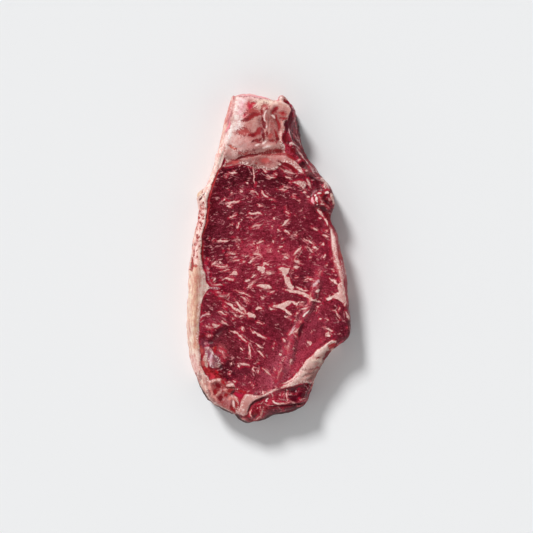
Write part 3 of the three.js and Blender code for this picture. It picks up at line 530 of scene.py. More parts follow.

# Marks over the fat and the lean, some of them painted shade, laid in this order: display colour, how soft
# the edge is, strokes.
MARKS = {
    "haze": ((180, 74, 72), 3.0, strokes(
        (0.9, -44.4, -57, -43.6, -61), (1.2, -43, -65, -42.4, -68), (0.8, -43, -65.6, -42.8, -67),
        (1.6, -14, 96.2, -9, 96.8, -5.4, 96), (1.9, -20, 83.6, -17, 83, -13, 83), (1.2, 1.6, 82, 0.6, 79),
        (2.2, 9.2, 95.6, 8.6, 93.8), (1.2, -1, 100.4, -3.4, 99.6), (0.5, -20, 70, -16, 68.8, -10, 70.2),
        (1.6, -5, 64.8, 0.6, 64.4), (1.3, -24, 63, -20, 63.8), (1.2, 46.4, 6, 47.4, 2),
    )),
    "pink line": ((232, 150, 158), 2.0, strokes(
        (0.6, 5.4, 104.4, 7, 106.8, 10, 107.2, 12.6, 105),
        (0.5, -19.6, 107.6, -14, 107.4, -8, 106.8, -2, 106, 4, 104.8),
    )),
    "pink streak": ((226, 112, 128), 1.6, strokes((0.6, -25.4, 90, -25.6, 87, -27.2, 85, -29.4, 82))),
    "rose": ((176, 100, 108), 2.0, strokes((0.8, -24.8, 97.6, -25.6, 93.4, -26.8, 90, -28, 88))),
    "tan": ((214, 176, 148), 1.4, strokes((1.0, -43, 48, -45, 45, -46.6, 41.4))),
    "soft dash": ((200, 116, 108), 0.9, strokes(
        (0.5, -44.8, 35.6, -44, 32.4), (0.5, -41.8, 33.6, -40.4, 32.8), (0.5, -42.6, 30.4, -43.2, 28.6),
        (0.4, -45.6, 33, -45.4, 30.4), (0.4, -42, 26.6, -40.6, 26.4), (0.6, -46.6, 26, -46.4, 22.4),
        (0.6, -47.8, 22, -47, 19.6), (0.7, -48.6, 18.8, -48, 15.6), (0.4, -47.2, 12.8, -45.8, 12),
        (0.55, -48.4, 10.2, -47.4, 9.4),
    )),
    "brown": ((140, 92, 76), 2.0, strokes((0.6, -36.8, 68.4, -36.7, 67.6), (0.45, -38.6, 60, -39.2, 56.4))),
    "orange spot": ((208, 92, 76), 1.8, strokes(
        (0.5, -25.4, 74.4, -23.6, 73, -21.4, 72), (0.5, -36.4, -57.2, -35.4, -57),
    )),
    "orange": ((180, 50, 48), 1.0, strokes(
        (0.5, -49, -3.7, -46, -3.7), (0.3, -30, 60.6, -32.6, 58, -35.4, 52, -37.2, 47, -38.6, 40),
        (0.2, -38.6, 40, -39.2, 32, -40, 25, -41.4, 20, -42.8, 15),
    )),
    # grey lines: painted shade in the wrinkles of the wedge and along the grooves of the foot, and grey
    # streaks on the foot's side
    "grey line": ((160, 112, 106), 1.4, strokes(
        (0.35, -47.4, -74.6, -45.6, -79), (0.35, -45.6, -73, -44, -78),
        (0.35, -39.6, -85, -38, -88.4, -35.4, -91.4), (0.35, -41.8, -87, -39, -91),
        (0.35, -35, -94, -30, -97, -24.6, -100), (0.35, 21.4, -71.2, 26, -71.8, 30, -70.8),
        (0.4, 22.4, -75.6, 26, -74, 29.6, -73.4), (0.4, 25, -78, 28, -76.4, 31, -74),
        (0.5, 28, -78.6, 30.4, -77),
    )),
    "red line": ((204, 98, 104), 1.0, strokes(
        (0.55, -19.6, 107.6, -22.6, 107, -24, 103.6, -25.4, 100, -26.6, 97, -28.4, 92, -30, 88),
    )),
    "blotch": ((150, 26, 34), 1.1, strokes(
        (0.6, -43, 14, -43.1, 6, -42.8, -2), (0.9, -43.2, -61.6, -43, -63.4),
        (0.9, -42.4, -69.6, -41.8, -70.2), (1.1, -40.6, -71.6, -40.2, -73),
        (1.4, -18, 90.4, -15, 90.6, -12.6, 92.4, -10, 94.4, -7, 94.8, -4.4, 94.4),
        (0.72, -4.4, 94.8, -4.6, 98.6), (0.51, -2, 97.4, -1.2, 98.8), (2.3, -3.4, 85, -5.4, 84, -8, 82),
        (1.3, -6, 83, -9.4, 81.4, -13, 80.6), (0.51, -1.6, 82.6, -1, 81),
        (0.58, -11, 76.6, -9, 77.6, -6, 78.2, -3, 79.6), (0.43, -8, 76.4, -5, 76.6),
        (0.65, 4.4, 94, 5.4, 91, 6.6, 88, 6.6, 84), (0.72, 3.6, 84.4, 4.8, 81, 5.6, 78.4, 4.6, 76.2),
        (0.72, 0.6, 77.6, 3.4, 77.4), (0.87, 2.2, 95, 2.8, 96.6, 4.4, 98.2, 6, 99.6),
        (0.87, 8.6, 95.6, 9.8, 94.6), (0.72, 7, 91.8, 9.4, 91.6, 11.6, 92.2), (0.72, 9.6, 104.4, 11.4, 103),
        (0.5, -5, 68.8, 0, 69.4, 3, 70.6, 5.4, 72),
        (0.5, -2, 68.5, 3, 68.8, 6, 69, 9, 69.4, 11, 68, 14, 66.4, 17, 65), (0.5, -7, 69, 0, 70.4, 4, 72),
        (1.3, 4, 70.4, 6.4, 71, 9, 70.6), (0.43, -8.4, 62.8, -7.6, 62.4), (0.58, -28, 61.6, -24, 63),
        (0.72, 12, 62.4, 15, 60.4, 18, 57.6), (0.87, 10.6, 69, 13.4, 67, 16.6, 65),
        (0.5, 33.4, 41, 34.8, 42.8, 35, 44.4), (0.35, 30, 37.4, 30.8, 36.2),
        (1.3, -34.6, -84, -35.4, -87.4), (0.9, -28.2, -86.8, -27, -89),
        (0.9, -25.2, -94, -24, -97, -21.8, -98.8), (0.5, -21, -92, -21, -96), (1.3, -27, -85.6, -23, -83.4),
        (1.2, 39, -57.4, 42, -57), (0.45, 30.8, -63.8, 32.8, -64), (0.5, 30.2, -70.4, 32.6, -70.2),
    )),
    "bright blood": ((176, 28, 38), 1.6, strokes(
        (0.8, -34.6, -71.8, -33, -74), (0.6, 32.4, 38.2, 32.9, 37.6), (0.6, -34.6, -56.6, -34.8, -60),
        (0.8, -30.6, -78, -28.8, -80.8), (0.5, -20, -85.4, -15, -86),
        (1.5, 38.6, -56, 41, -55.4, 43.4, -55),
    )),
    "bright": ((206, 54, 68), 1.5, strokes(
        (1.1, -37.8, -73.4, -36.2, -75.6, -38.4, -77),
        (1.1, -13.2, 102.4, -12.6, 99.2, -10.6, 101, -8.8, 102), (0.5, -19.8, -90, -18.6, -91.6),
    )),
    "deep pink": ((188, 28, 62), 1.8, strokes(
        (0.8, -12.8, 99, -11, 99.8), (0.75, -16.2, 94.4, -15.6, 94),
        (0.8, -22, -86.8, -19, -88.4, -17.4, -87.6),
    )),
    "dash": ((156, 44, 42), 0.45, strokes(
        (0.4, -42.8, 37.6, -41.8, 36), (0.4, -44.6, 29.8, -43.4, 29), (0.4, -43.6, 33.6, -42.6, 32.6),
        (0.4, -45.2, 20.6, -44.2, 19.6), (0.5, -43.8, 27, -42.6, 26.4), (0.45, -46, 28.4, -45.4, 26.8),
        (0.45, -44.8, 24.6, -44.2, 23.4), (0.55, -43.8, 23.4, -43.3, 22.2), (0.5, -46.5, 16.4, -46.2, 15.5),
        (0.5, -49.6, 14.8, -49, 13), (0.5, -48.6, 6.6, -48.4, 4.6), (0.5, -49.2, 3.4, -48.8, 2),
        (0.7, -50.2, 1.6, -49.6, -1, -49.8, -4, -50.3, -7.6), (0.5, -51.4, -4.6, -50.6, -7.6),
    )),
    "blood": ((116, 10, 24), 0.8, strokes(
        (0.65, -16.4, 90.6, -14.6, 90.8, -12.8, 92.2), (0.87, -3.8, 92.8, -3.4, 90, -2.8, 87, -2, 85),
        (1.6, -3.4, 85, -5, 83.6), (0.58, -11.6, 81, -9, 81.2), (0.43, -10.8, 76.6, -9.4, 77.4),
        (0.43, -7, 77.2, -4.6, 79), (1.2, 6, 79.4, 5.2, 77.8), (0.43, 2.8, 96.4, 4.2, 98),
        (0.43, -10, 71.8, -9, 70.6), (1.0, -3.8, 84, -3.4, 80, -3.4, 76.6),
        (0.72, 5, 64.4, 9, 62.4, 13, 60.6, 17, 58.6), (0.65, 5.6, 61.4, 8, 60, 11, 58.2),
        (1.4, 11.4, 82.6, 10.4, 79, 12, 76), (1.4, 15, 72.6, 16.8, 69.4),
        (1.3, 46, 14.4, 46.8, 11, 46.6, 8), (0.4, -45, -50.2, -42.4, -49.2), (1.3, -34, -80.6, -31.8, -83),
        (1.9, -32.6, -89.8, -29.4, -90), (2.0, -9.2, -98.4, -8.6, -100.8),
        (0.6, -16, -102.2, -13.4, -101.4), (0.5, -14, -103, -10.6, -104.6), (2.2, 36.4, -61.4, 40.6, -60.2),
        (2.1, 37, -60.6, 38.6, -61.4), (1.4, 36.2, -63, 36.8, -65),
    )),
    "seam blood": ((124, 14, 26), 0.6, strokes(
        (0.9, -25.6, 65.4, -23, 64.9, -20.6, 65.2, -17.4, 67, -14, 67.6, -9, 68.4, -5, 68.8),
    )),
    "dark": ((84, 18, 18), 0.7, strokes(
        (0.42, -46.9, 31, -47.3, 28.6), (0.42, -48.3, 24.6, -48.9, 22), (0.42, -49.6, 19, -49.9, 17),
        (0.55, -50.3, 12.4, -49.8, 9.2), (0.85, -51.9, -0.6, -51.2, -4.4), (0.6, -41.8, 44.2, -43.6, 41.8),
        (0.9, -43.6, 41.8, -45.2, 38.8), (0.45, -27.8, -83, -24, -82.9, -22, -83.6),
    )),
    # painted contact shadow: a dark line along the bottom rim, where the steak meets the floor
    "rim contact shadow": ((74, 40, 42), 1.4, strokes(
        (0.8, -47.4, -77.6, -44.4, -83.9, -41.6, -88.2, -39.8, -91.3, -36.2, -94.4),
        (0.9, -36.6, -94.4, -29.8, -97.8, -25.6, -99.7, -22.6, -101),
        (1.6, -22, -101.2, -20.2, -103.9, -18, -106, -13.6, -107.4, -8, -106.5),
        (1.1, -8, -106.6, -4, -104.9, 0, -103.6, 8, -101.8, 15, -100.4),
        (0.8, 15, -100.4, 22, -97.4, 25.4, -94.4), (0.7, 34.6, -76, 38.4, -69, 43, -61.6, 48, -56.6),
    )),
    # maroon: the lean's dark red, and painted shade in the pits, holes, folds and grooves that the relief
    # sinks
    "maroon": ((78, 6, 24), 1.1, strokes(
        (1.0, 11.6, 91, 11.2, 85.4), (0.5, 12.4, 90, 12.6, 86, 11, 82.6),
        (0.8, 11.6, 90.4, 12.2, 87.6, 11, 83.6), (1.4, 16.2, 80.4, 18.8, 77), (0.8, 22, 79.6, 21.4, 76),
        (1.2, 14.4, 96, 13.6, 91, 12.6, 86), (1.7, 21.6, 63.8, 22.4, 61.8), (0.6, 14.8, 95.4, 14.4, 91),
        (1.0, 26.6, 55.6, 28.4, 53), (0.8, 31, 52.6, 32, 49), (0.7, 34.2, 50.6, 35.2, 50),
        (0.7, 32, 47, 32.3, 46), (0.6, 30.4, 58.2, 32.4, 55), (0.6, 28.6, 60.6, 30.6, 57.2),
        (1.2, 36.6, 39, 38.6, 37, 38.9, 35.8), (0.6, 35.6, 41.8, 38.2, 42.4), (0.8, 41.2, 33.6, 41.4, 32.6),
        (1.6, 33.6, 33.4, 37.4, 31.6), (0.5, 46.7, 12.4, 47, 8.6),
        (1.3, -28.6, -43.8, -31.6, -46.4, -35.6, -49.6), (1.1, -36, -53.4, -39.6, -52.6),
        (0.9, -25, -87, -22.2, -84.8), (0.8, -9.4, -101, -8.6, -101.6), (1.5, -32, -70.6, -29, -68.4),
        (0.8, -24, -73.4, -21.6, -74.6), (1.2, 12.6, -89.4, 19, -89),
        (0.8, 25.6, -80.6, 27.6, -82, 30.6, -80.4), (0.6, 0, -95.8, 10, -95, 20, -94, 25, -92.6),
        (0.6, -13.6, -99, -12, -94.6, -9.4, -92.4, -5.4, -90.2, -1, -88.6),
        (1.3, 22, -41, 20.6, -45, 19.6, -50), (0.5, 8, -84.6, 16, -83, 23, -82),
        (1.2, 14, -85.4, 18, -84.6), (1.3, 19, -88.4, 23, -87.4), (1.0, 13.6, -90.4, 18, -91),
    )),
    # black lines: painted shade in the hollows between the membranes on the side of the tail, and black dots
    # by the silverskin
    "black line": ((44, 18, 26), 1.0, strokes(
        (0.8, 16.4, 90, 18, 85, 20.4, 80.6, 23, 76), (0.7, 13.6, 84, 15.6, 79, 18.4, 75),
        (0.6, 24, 73.6, 26.6, 69, 29.4, 64), (0.6, 18.6, 74, 22, 70, 25, 66), (0.4, 19.6, 83.4, 22.6, 79.6),
        (0.35, 17.6, 98.4, 19.4, 91.6), (0.4, 22.4, 70.6, 25.4, 65.4, 28, 61.8),
        (0.35, 17, 74, 21.6, 69.4, 25.4, 65), (0.35, -38.4, -56.2, -37.9, -56.8),
    )),
}

# Display colours of the fat, by tone. The tones white and glint, and the light silver of the glints, are
# painted highlights; pale is paler fat and, in places, painted highlights.
FAT_TONES = {
    "cap": (230, 198, 186), "tail": (203, 148, 140), "wedge": (206, 168, 158), "seam": (212, 156, 150),
    "marbling": (218, 170, 163), "grey": (190, 136, 132), "lobe": (196, 138, 132), "silver": (138, 64, 84),
    "glint": (206, 164, 172), "taupe": (150, 94, 96), "rim": (172, 132, 128), "rim light": (212, 172, 160),
    "white": (250, 234, 230), "pale": (238, 208, 202), "pink white": (236, 160, 172),
    "blush": (190, 104, 108), "strip": (188, 98, 102), "loop": (206, 124, 116),
    "loop light": (214, 146, 136), "foot": (150, 48, 52), "silver glint": (222, 184, 196),
    "taupe light": (178, 118, 114), "brown": (136, 98, 94), "pink": (180, 90, 98),
    "membrane": (186, 150, 154), "membrane light": (222, 192, 188),
}
# Tones of strokes whose edge is softer than the others', by how many times.
SOFT_TONES = {
    "grey": 1.6, "silver": 1.8, "taupe": 2.0, "blush": 2.2, "loop": 1.5, "brown": 2.0, "lobe": 1.4,
    "loop light": 1.4, "silver glint": 1.3, "taupe light": 1.4, "pink": 1.8, "pink white": 1.5,
    "strip": 2.0, "rim": 1.5, "membrane": 1.2,
}

# ---- Soft tints: display colour, strength, half width, line ----

LEAN_BASE = (126, 27, 47)
LEAN_TINTS = {
    "brighter middle": ((150, 38, 60), 0.75, 9, [(-16, -4), (10, -6)]),
    "brighter, below the middle": ((146, 38, 58), 0.7, 8, [(-18, -26), (10, -24)]),
    "brighter, lower left": ((146, 40, 58), 0.7, 8, [(-18, -60), (8, -68)]),
    "brighter, left": ((140, 36, 54), 0.6, 6, [(-22, 14), (2, 14)]),
    "brighter, beside the bone side": ((152, 42, 60), 0.7, 5, [(40, -22), (36, -32)]),
    "darker, upper left": ((92, 14, 28), 0.6, 7, [(-24, 36), (-8, 34)]),
    "dark upper left": ((84, 12, 28), 0.85, 9, [(-30, 56), (-26, 50)]),
    "dark band under the tail": ((80, 10, 24), 0.9, 6.5, [(-22, 58), (-6, 53), (8, 51)]),
    "upper middle": ((104, 28, 42), 0.5, 6, [(-2, 47), (10, 41)]),
    "dark beside the cap, upper": ((96, 6, 22), 0.9, 3.4, [(-36, 48), (-38, 30), (-40, 18)]),
    "dark beside the cap, middle": ((88, 10, 26), 0.85, 4.5, [(-38, 20), (-40, 4)]),
    "beside the cap, lower": ((104, 20, 32), 0.8, 2.0, [(-43, -27), (-44, -34)]),
    "left middle": ((98, 26, 40), 0.6, 8, [(-30, 28), (-30, 10)]),
    "pink, upper left": ((150, 48, 66), 0.6, 4.5, [(-22, 41), (-12, 42)]),
    "upper right": ((118, 36, 50), 0.6, 7, [(18, 44), (26, 36)]),
    "streaked upper right": ((150, 60, 68), 0.7, 4, [(10, 62), (20, 57)]),
    "red of the upper right": ((110, 18, 34), 0.8, 3, [(12, 54), (24, 54)]),
    "pink, middle 1": ((178, 62, 82), 0.65, 6, [(-4, 26), (4, 22)]),
    "pink, middle 2": ((192, 66, 86), 0.75, 5.5, [(-14, 8), (-6, 6)]),
    "pink, middle 3": ((188, 62, 82), 0.7, 6, [(0, 5), (14, 2)]),
    "pink, middle 4": ((166, 52, 70), 0.55, 8, [(-16, -4), (8, -12)]),
    "purple, left of the middle": ((140, 42, 58), 0.7, 4, [(-18, -5), (-20, -12)]),
    "pink, right": ((166, 50, 72), 0.65, 6, [(32, 2), (32, -8)]),
    "dark right lens": ((112, 30, 46), 0.85, 4.6, [(14, -14), (26, -9)]),
    "dark right, upper": ((120, 36, 50), 0.5, 6, [(18, 30), (22, 16)]),
    "dark lens, middle": ((118, 36, 50), 0.75, 3.6, [(4, -23), (14, -24)]),
    "dark lower middle": ((114, 34, 48), 0.8, 6, [(-4, -37), (8, -43)]),
    "dark, below the triangle": ((112, 22, 36), 0.75, 4, [(-38, -27), (-30, -26)]),
    "left notch": ((124, 36, 52), 0.7, 4.5, [(-40, -30), (-36, -36)]),
    "crimson of the lower left": ((176, 62, 84), 0.6, 4, [(-42, -42), (-34, -40)]),
    "brown left": ((118, 38, 50), 0.75, 7, [(-28, -52), (-22, -58)]),
    # painted shade in the fold beside the silverskin
    "dark fold": ((76, 8, 22), 0.85, 3, [(-28, -45), (-38, -53)]),
    "purple over the silverskin": ((160, 84, 104), 0.8, 3.6, [(-42, -56), (-38, -62), (-34, -66)]),
    "pink beside the silverskin": ((186, 96, 98), 0.8, 3.2, [(-31, -58), (-29, -64)]),
    "dark red, lower left": ((82, 16, 30), 0.95, 5, [(-28, -67), (-28, -75)]),
    "dark red, left of the foot": ((98, 22, 38), 0.8, 4, [(-20, -73), (-10, -72)]),
    "blood of the foot": ((204, 58, 52), 0.85, 3.0, [(-42, -70), (-37, -75), (-35, -76)]),
    "orange-red foot": ((172, 60, 60), 0.8, 5, [(-36, -80), (-30, -86), (-26, -92)]),
    "speckled red of the foot": ((190, 42, 62), 0.75, 3, [(-22, -86), (-13, -84.6)]),
    "pink foot": ((156, 54, 70), 0.6, 7, [(-16, -82), (-4, -78)]),
    "pink, beyond the crease": ((190, 88, 106), 0.75, 8, [(12, -64), (4, -78)]),
    "pink crease": (
        (206, 104, 120), 0.9, 1.7,
        [(34, -6.6), (30, -15.4), (27, -24), (26, -29.4), (21, -38), (15.4, -47), (13, -54), (11.4, -66)],
    ),
    "pink right of the crease": ((154, 56, 74), 0.7, 9, [(34, -40), (22, -56)]),
    "pink strip by the wedge": ((180, 56, 76), 0.65, 3.5, [(34, -52), (24, -60), (16, -72)]),
    "hook": ((96, 20, 38), 0.85, 5.0, [(49, -40), (48, -50)]),
    "right of the triangle": ((118, 36, 50), 0.6, 5, [(44, -33), (50, -34)]),
    "strip outside the seam": ((172, 78, 82), 0.8, 2.6, [(44.6, 16), (48, 4), (50.4, -12), (52, -28)]),
    # painted shade on the side of the tail turned from the key light, down to the kernel
    "painted shade on the side of the tail": ((54, 18, 26), 0.97, 3.4, [(15.5, 103), (20, 90), (24, 76), (30, 64)]),
    "painted shade in the hollow of the tail's side": ((112, 70, 78), 0.9, 2.0, [(14.6, 98), (16, 92), (16.6, 88)]),
    "painted shade on the side, lower": ((84, 30, 38), 0.9, 3.0, [(26, 68), (31, 60), (34, 55)]),
    "painted shade on the side, by the kernel": ((100, 50, 56), 0.85, 2.6, [(36, 53), (40, 47), (42, 42)]),
    "red patches by the membrane": ((138, 30, 46), 0.8, 3.0, [(10.8, 82), (11, 77), (15, 71), (20, 66)]),
    "grey-red by the membrane": ((86, 44, 52), 0.8, 1.7, [(14, 84.4), (14.2, 77)]),
    "red between the seams": ((184, 60, 76), 0.8, 1.7, [(13.4, 71.4), (14.4, 66)]),
    "brown by the membrane": ((136, 84, 80), 0.75, 2.6, [(25, 59), (27.6, 56)]),
    "dark red by the membrane": ((96, 20, 38), 0.9, 3.6, [(29, 53), (32, 47)]),
    "kernel": ((150, 56, 64), 0.9, 5, [(34, 39.6)]),
    "heart of the kernel": ((92, 8, 22), 0.9, 2.6, [(37, 40.6), (38, 37.6)]),
    "under the kernel": ((92, 18, 30), 0.9, 4.0, [(33, 31.6), (38, 30)]),
    "red under the kernel": ((130, 14, 30), 0.85, 2.0, [(39.6, 29), (40, 23)]),
    "side muscle": ((98, 20, 36), 0.9, 5, [(13, -87), (24, -86)]),
    "side muscle, left": ((176, 50, 68), 0.9, 3.6, [(0, -87), (2, -93)]),
    "side muscle, speckled": ((150, 40, 56), 0.8, 3.4, [(6, -89), (10, -87)]),
    # the side muscle's front wall: its maroon, darkened further as painted shade on the wall turned from the
    # key light
    "side muscle strip": ((78, 4, 18), 0.95, 3.0, [(2, -99.4), (12, -98.6), (23, -95.4)]),
    "chine lobes": ((146, 40, 50), 0.85, 4, [(-12, -96), (-3, -96)]),
    "round lobe": ((120, 24, 38), 0.85, 2.6, [(-8.6, -99.6)]),
    "brown tip": ((140, 98, 94), 0.95, 3.0, [(-22, -104.5), (-14, -107)]),
    "brown underside": ((150, 96, 90), 0.8, 1.8, [(-12, -106), (0, -103.4)]),
    "pink strip of the fold": ((170, 78, 84), 0.6, 1.6, [(4, -93.6), (12, -93)]),
}
FAT_TINTS = {
    "cream of the cap, lower": ((218, 190, 172), 0.9, 7, [(-52, -8), (-53, -60), (-47, -80)]),
    "peach of the cap": ((226, 192, 166), 0.7, 2.4, [(-50, -8), (-49.6, -24), (-50, -40)]),
    "tan stripe": ((214, 164, 136), 0.9, 1.9, [(-47, -5), (-47.4, -36), (-47.6, -56)]),
    "darker stripe": ((192, 138, 116), 0.8, 1.0, [(-46.2, -7), (-46.4, -20), (-46.6, -42)]),
    "brown inner edge": ((186, 134, 112), 0.8, 1.0, [(-44.4, 8), (-44.4, -6), (-45, -14)]),
    "peach edge": ((206, 152, 122), 0.7, 1.2, [(-46, -40), (-46.4, -58)]),
    "white of the cap": ((240, 212, 202), 0.8, 2.4, [(-31, 76), (-36, 58), (-41, 40)]),
    "pink of the cap": ((230, 184, 178), 0.7, 2.6, [(-44, 34), (-46, 14), (-47, 0)]),
    "cream inner edge": ((222, 186, 168), 0.7, 1.2, [(-42.6, 16), (-44.8, 6), (-44.8, 0)]),
    "fat triangle": ((196, 168, 156), 0.9, 2.4, [(-42.4, -8), (-42, -17), (-43, -22)]),
    "foot of the cap": ((220, 186, 174), 0.8, 3, [(-47, -68), (-43, -84), (-37, -93)]),
    "pale pink of the foot": ((226, 184, 178), 0.8, 2.6, [(-50, -64), (-47, -76)]),
    "cream of the foot": ((232, 204, 184), 0.8, 1.8, [(-44, -80), (-41.6, -84)]),
    "grey foot": ((174, 128, 124), 0.8, 1.8, [(-37.6, -92.6), (-28, -98), (-20, -101.6)]),
    "pink inner foot": ((214, 140, 126), 0.8, 1.8, [(-43.4, -58), (-43, -66), (-40.6, -71)]),
    "pink stripe of the foot": ((210, 154, 144), 0.7, 1.2, [(-45.4, -60), (-44.6, -70), (-40, -80)]),
    "red of the foot": ((140, 34, 40), 0.8, 3.4, [(-34, -81), (-33, -86)]),
    "pink of the foot": ((174, 102, 104), 0.7, 2.4, [(-27.4, -88), (-26, -93)]),
    "round the silverskin": ((208, 140, 132), 0.7, 2.0, [(-41.6, -66), (-40.6, -70)]),
    "lilac of the silverskin": ((142, 70, 86), 0.7, 2.0, [(-40, -59), (-38.6, -62)]),
    "grey of the silverskin": ((116, 52, 64), 0.7, 2.2, [(-35, -62), (-34.6, -66)]),
    "reddish side of the tail": ((186, 100, 106), 0.95, 2.6, [(-25.6, 103), (-27.6, 96), (-30, 88)]),
    "pale side of the tail": ((230, 180, 172), 0.9, 2.4, [(-31.4, 82), (-34, 74), (-36, 66)]),
    "cream strip of the tail": (
        (250, 228, 220), 0.95, 1.5, [(-21, 105), (-21, 94), (-23.8, 84), (-28, 74)]
    ),
    "pink field of the tail": ((255, 226, 226), 0.8, 3.6, [(-17.6, 104), (-18.4, 96)]),
    "pink streak of the tail": ((244, 160, 176), 0.5, 1.3, [(-17.2, 101.4), (-17.6, 98), (-19, 95)]),
    "top edge of the tail": ((244, 196, 196), 0.8, 1.6, [(-16, 106), (-4, 105.4), (4, 104)]),
    "cream patch of the tail": ((244, 218, 200), 0.95, 2.2, [(-7, 102.6), (1, 102.6), (6, 103)]),
    "tan under the cream": ((240, 194, 178), 0.85, 1.6, [(-8, 99.8), (0, 99.8), (3, 100)]),
    "tail fat, far left": ((232, 190, 184), 0.8, 5, [(-23, 78), (-20, 70)]),
    "tail fat, rosy": ((244, 184, 178), 0.7, 3.4, [(-18, 81), (-13, 79)]),
    "tail fat, upper left": ((255, 236, 232), 0.85, 3, [(-19, 91), (-20, 86)]),
    "tail fat, middle": ((214, 150, 140), 0.8, 3.0, [(-13, 88.6), (-10, 91)]),
    "tail fat, left of the ridge": ((208, 150, 146), 0.75, 3.6, [(-16, 75), (-10, 73)]),
    "tail fat, right": ((150, 74, 70), 0.9, 2.0, [(2, 92), (1.6, 80)]),
    "cream rim of the right lobe": ((214, 164, 148), 0.85, 1.6, [(13.6, 97), (12, 100.4), (7, 101.4)]),
    "right lobe": ((156, 88, 82), 0.85, 2.2, [(11.4, 91.4), (9.4, 95), (8.4, 90)]),
    "band right of the groove": ((134, 60, 58), 0.85, 2.2, [(5, 93), (5.6, 86), (5, 78)]),
    "pale lobe of the tail": ((136, 56, 54), 0.85, 2.2, [(-2.6, 95), (-1, 91)]),
    "red beside the pink field": ((255, 140, 146), 0.85, 1.8, [(-13.4, 101), (-13.4, 96), (-15.6, 93)]),
    "pale, under the cream": ((255, 214, 204), 0.8, 1.6, [(-9, 103), (-8.6, 98)]),
    "white, left of the tail": ((255, 242, 238), 0.85, 1.8, [(-25, 86), (-26.6, 79)]),
    "red hollow of the tail": ((112, 20, 24), 0.85, 2.4, [(-5.4, 91), (-5.2, 85)]),
    "red, upper right of the tail": ((130, 48, 48), 0.85, 1.8, [(4, 99.4), (4, 90.6)]),
    "rosy, left of that red": ((142, 62, 60), 0.8, 1.5, [(1.6, 97), (1.4, 92.6)]),
    "pink heart of the lobe": ((196, 126, 122), 0.7, 1.8, [(1.4, 82), (1.4, 80)]),
    "rosy, below the hollow": ((226, 156, 150), 0.7, 1.8, [(-11.4, 78.4), (-14, 77)]),
    "red by the groove's foot": ((116, 36, 42), 0.85, 1.9, [(9, 78), (9.4, 74), (10.6, 72)]),
    "pale bridge": ((222, 140, 136), 0.75, 1.5, [(8.4, 68.4), (12, 68.6)]),
    "rim of the lobe": ((224, 164, 156), 0.7, 1.5, [(13.4, 98), (11.4, 103)]),
    "shiny ridge": ((150, 92, 88), 0.8, 1.8, [(-9, 73.6), (-5, 73.2)]),
    "red of the tail's hollow": ((160, 70, 70), 0.85, 2.0, [(-12.6, 80.6), (-8, 80.4), (-4.6, 82)]),
    "shade over the ridge": ((170, 104, 102), 0.7, 1.0, [(-9, 76), (-4, 76), (4, 76.4)]),
    "band": ((122, 56, 54), 0.9, 3.0, [(-24, 62.4), (-17, 62.6), (-10, 64.6), (-2, 65)]),
    "band, left end": ((124, 44, 46), 0.8, 2.2, [(-29.4, 61.4), (-25, 62)]),
    "band, middle": ((146, 72, 70), 0.8, 2.6, [(-6, 62.4), (4, 63)]),
    "red lower edge of the band": ((84, 20, 24), 0.85, 1.4, [(-16.6, 61), (-9, 61)]),
    "frayed lower edge": ((96, 26, 34), 0.8, 1.7, [(-11.4, 58.4), (4.6, 58.2)]),
    "pale band, middle": ((206, 140, 136), 0.7, 1.5, [(-1.4, 61.2), (2, 61.2)]),
    "band, right": ((184, 112, 110), 0.85, 2.6, [(4, 66), (12, 65), (18, 61)]),
    "curl": ((236, 196, 186), 0.9, 1.8, [(6, 105.4), (10, 105.8)]),
    "wedge, upper tip": ((232, 204, 194), 0.8, 1.8, [(43, -53.2), (38, -55.4), (33, -59.6)]),
    "wedge, bright edge": ((222, 184, 174), 0.7, 1.6, [(31, -61), (24, -67), (20, -75), (12, -80.4)]),
    "wedge, ridge": ((226, 206, 188), 0.85, 1.1, [(28.4, -65.6), (31.4, -64.8), (34.4, -66.4)]),
    "wedge, middle": ((188, 142, 134), 0.7, 3.0, [(30, -68), (26, -75)]),
    # the wedge's hollow and its shaded side are painted shade on its slope
    "wedge, hollow": ((130, 78, 74), 0.85, 1.7, [(20, -80.6), (27, -79), (29.4, -75.6), (33, -73)]),
    "wedge, shaded side": ((80, 40, 38), 0.95, 3.4, [(38, -63), (34.6, -71), (31.4, -78)]),
}

# Tints along the rim, laid last, which reach down the side as they are.
EDGE_TINTS = {
    "edge of the tail, cap side": ((196, 96, 100), 0.9, 1.5, [(-24.4, 103.6), (-26, 96), (-27.6, 91)]),
    "edge of the foot": (
        (92, 52, 50), 0.95, 0.8, [(-44, -84.6), (-41.2, -91.6), (-31.4, -98.4), (-24, -101.8)]
    ),
    "edge of the chine tip": (
        (76, 40, 38), 0.95, 3.2, [(-24, -102.6), (-20.2, -107), (-14.2, -109.2), (-7.5, -108)]
    ),
    "edge of the side muscle": (
        (66, 30, 36), 0.95, 1.8, [(-7.5, -108), (4, -104.2), (16, -102), (24, -97.4)]
    ),
}

# The warm mottling of the tail's fat: its noise is size, octaves and layer.
MOTTLING = {
    "line": [(-12, 91), (-9, 80), (2, 86), (8, 93)], "half_width": 6.5,
    "noise": (3.6, 3, 61), "edge": (-0.15, 0.35), "tone": (184, 84, 84), "share": 0.45,
}
RIND_TONE = (222, 182, 168)  # the fat cap's wall

# Where the surface is wetter than the rest: half width, line.
WET = {
    "tail ridge": (1.8, [(-7, 72.4), (3, 74.4)]),
    "kernel": (3.0, [(31, 40)]),
    "silverskin": (3.5, [(-38, -58), (-36, -66)]),
    "silverskin strip": (2.2, [(-41, -8), (-38, -16), (-30, -18)]),
    "side muscle": (5, [(0, -91), (16, -88), (24, -88)]),
    "chine lobes": (4, [(-14, -95), (-6, -98)]),
    "crease": (2.2, [(31, -13), (26, -26)]),
    "foot": (4, [(-34, -74), (-28, -86)]),
}

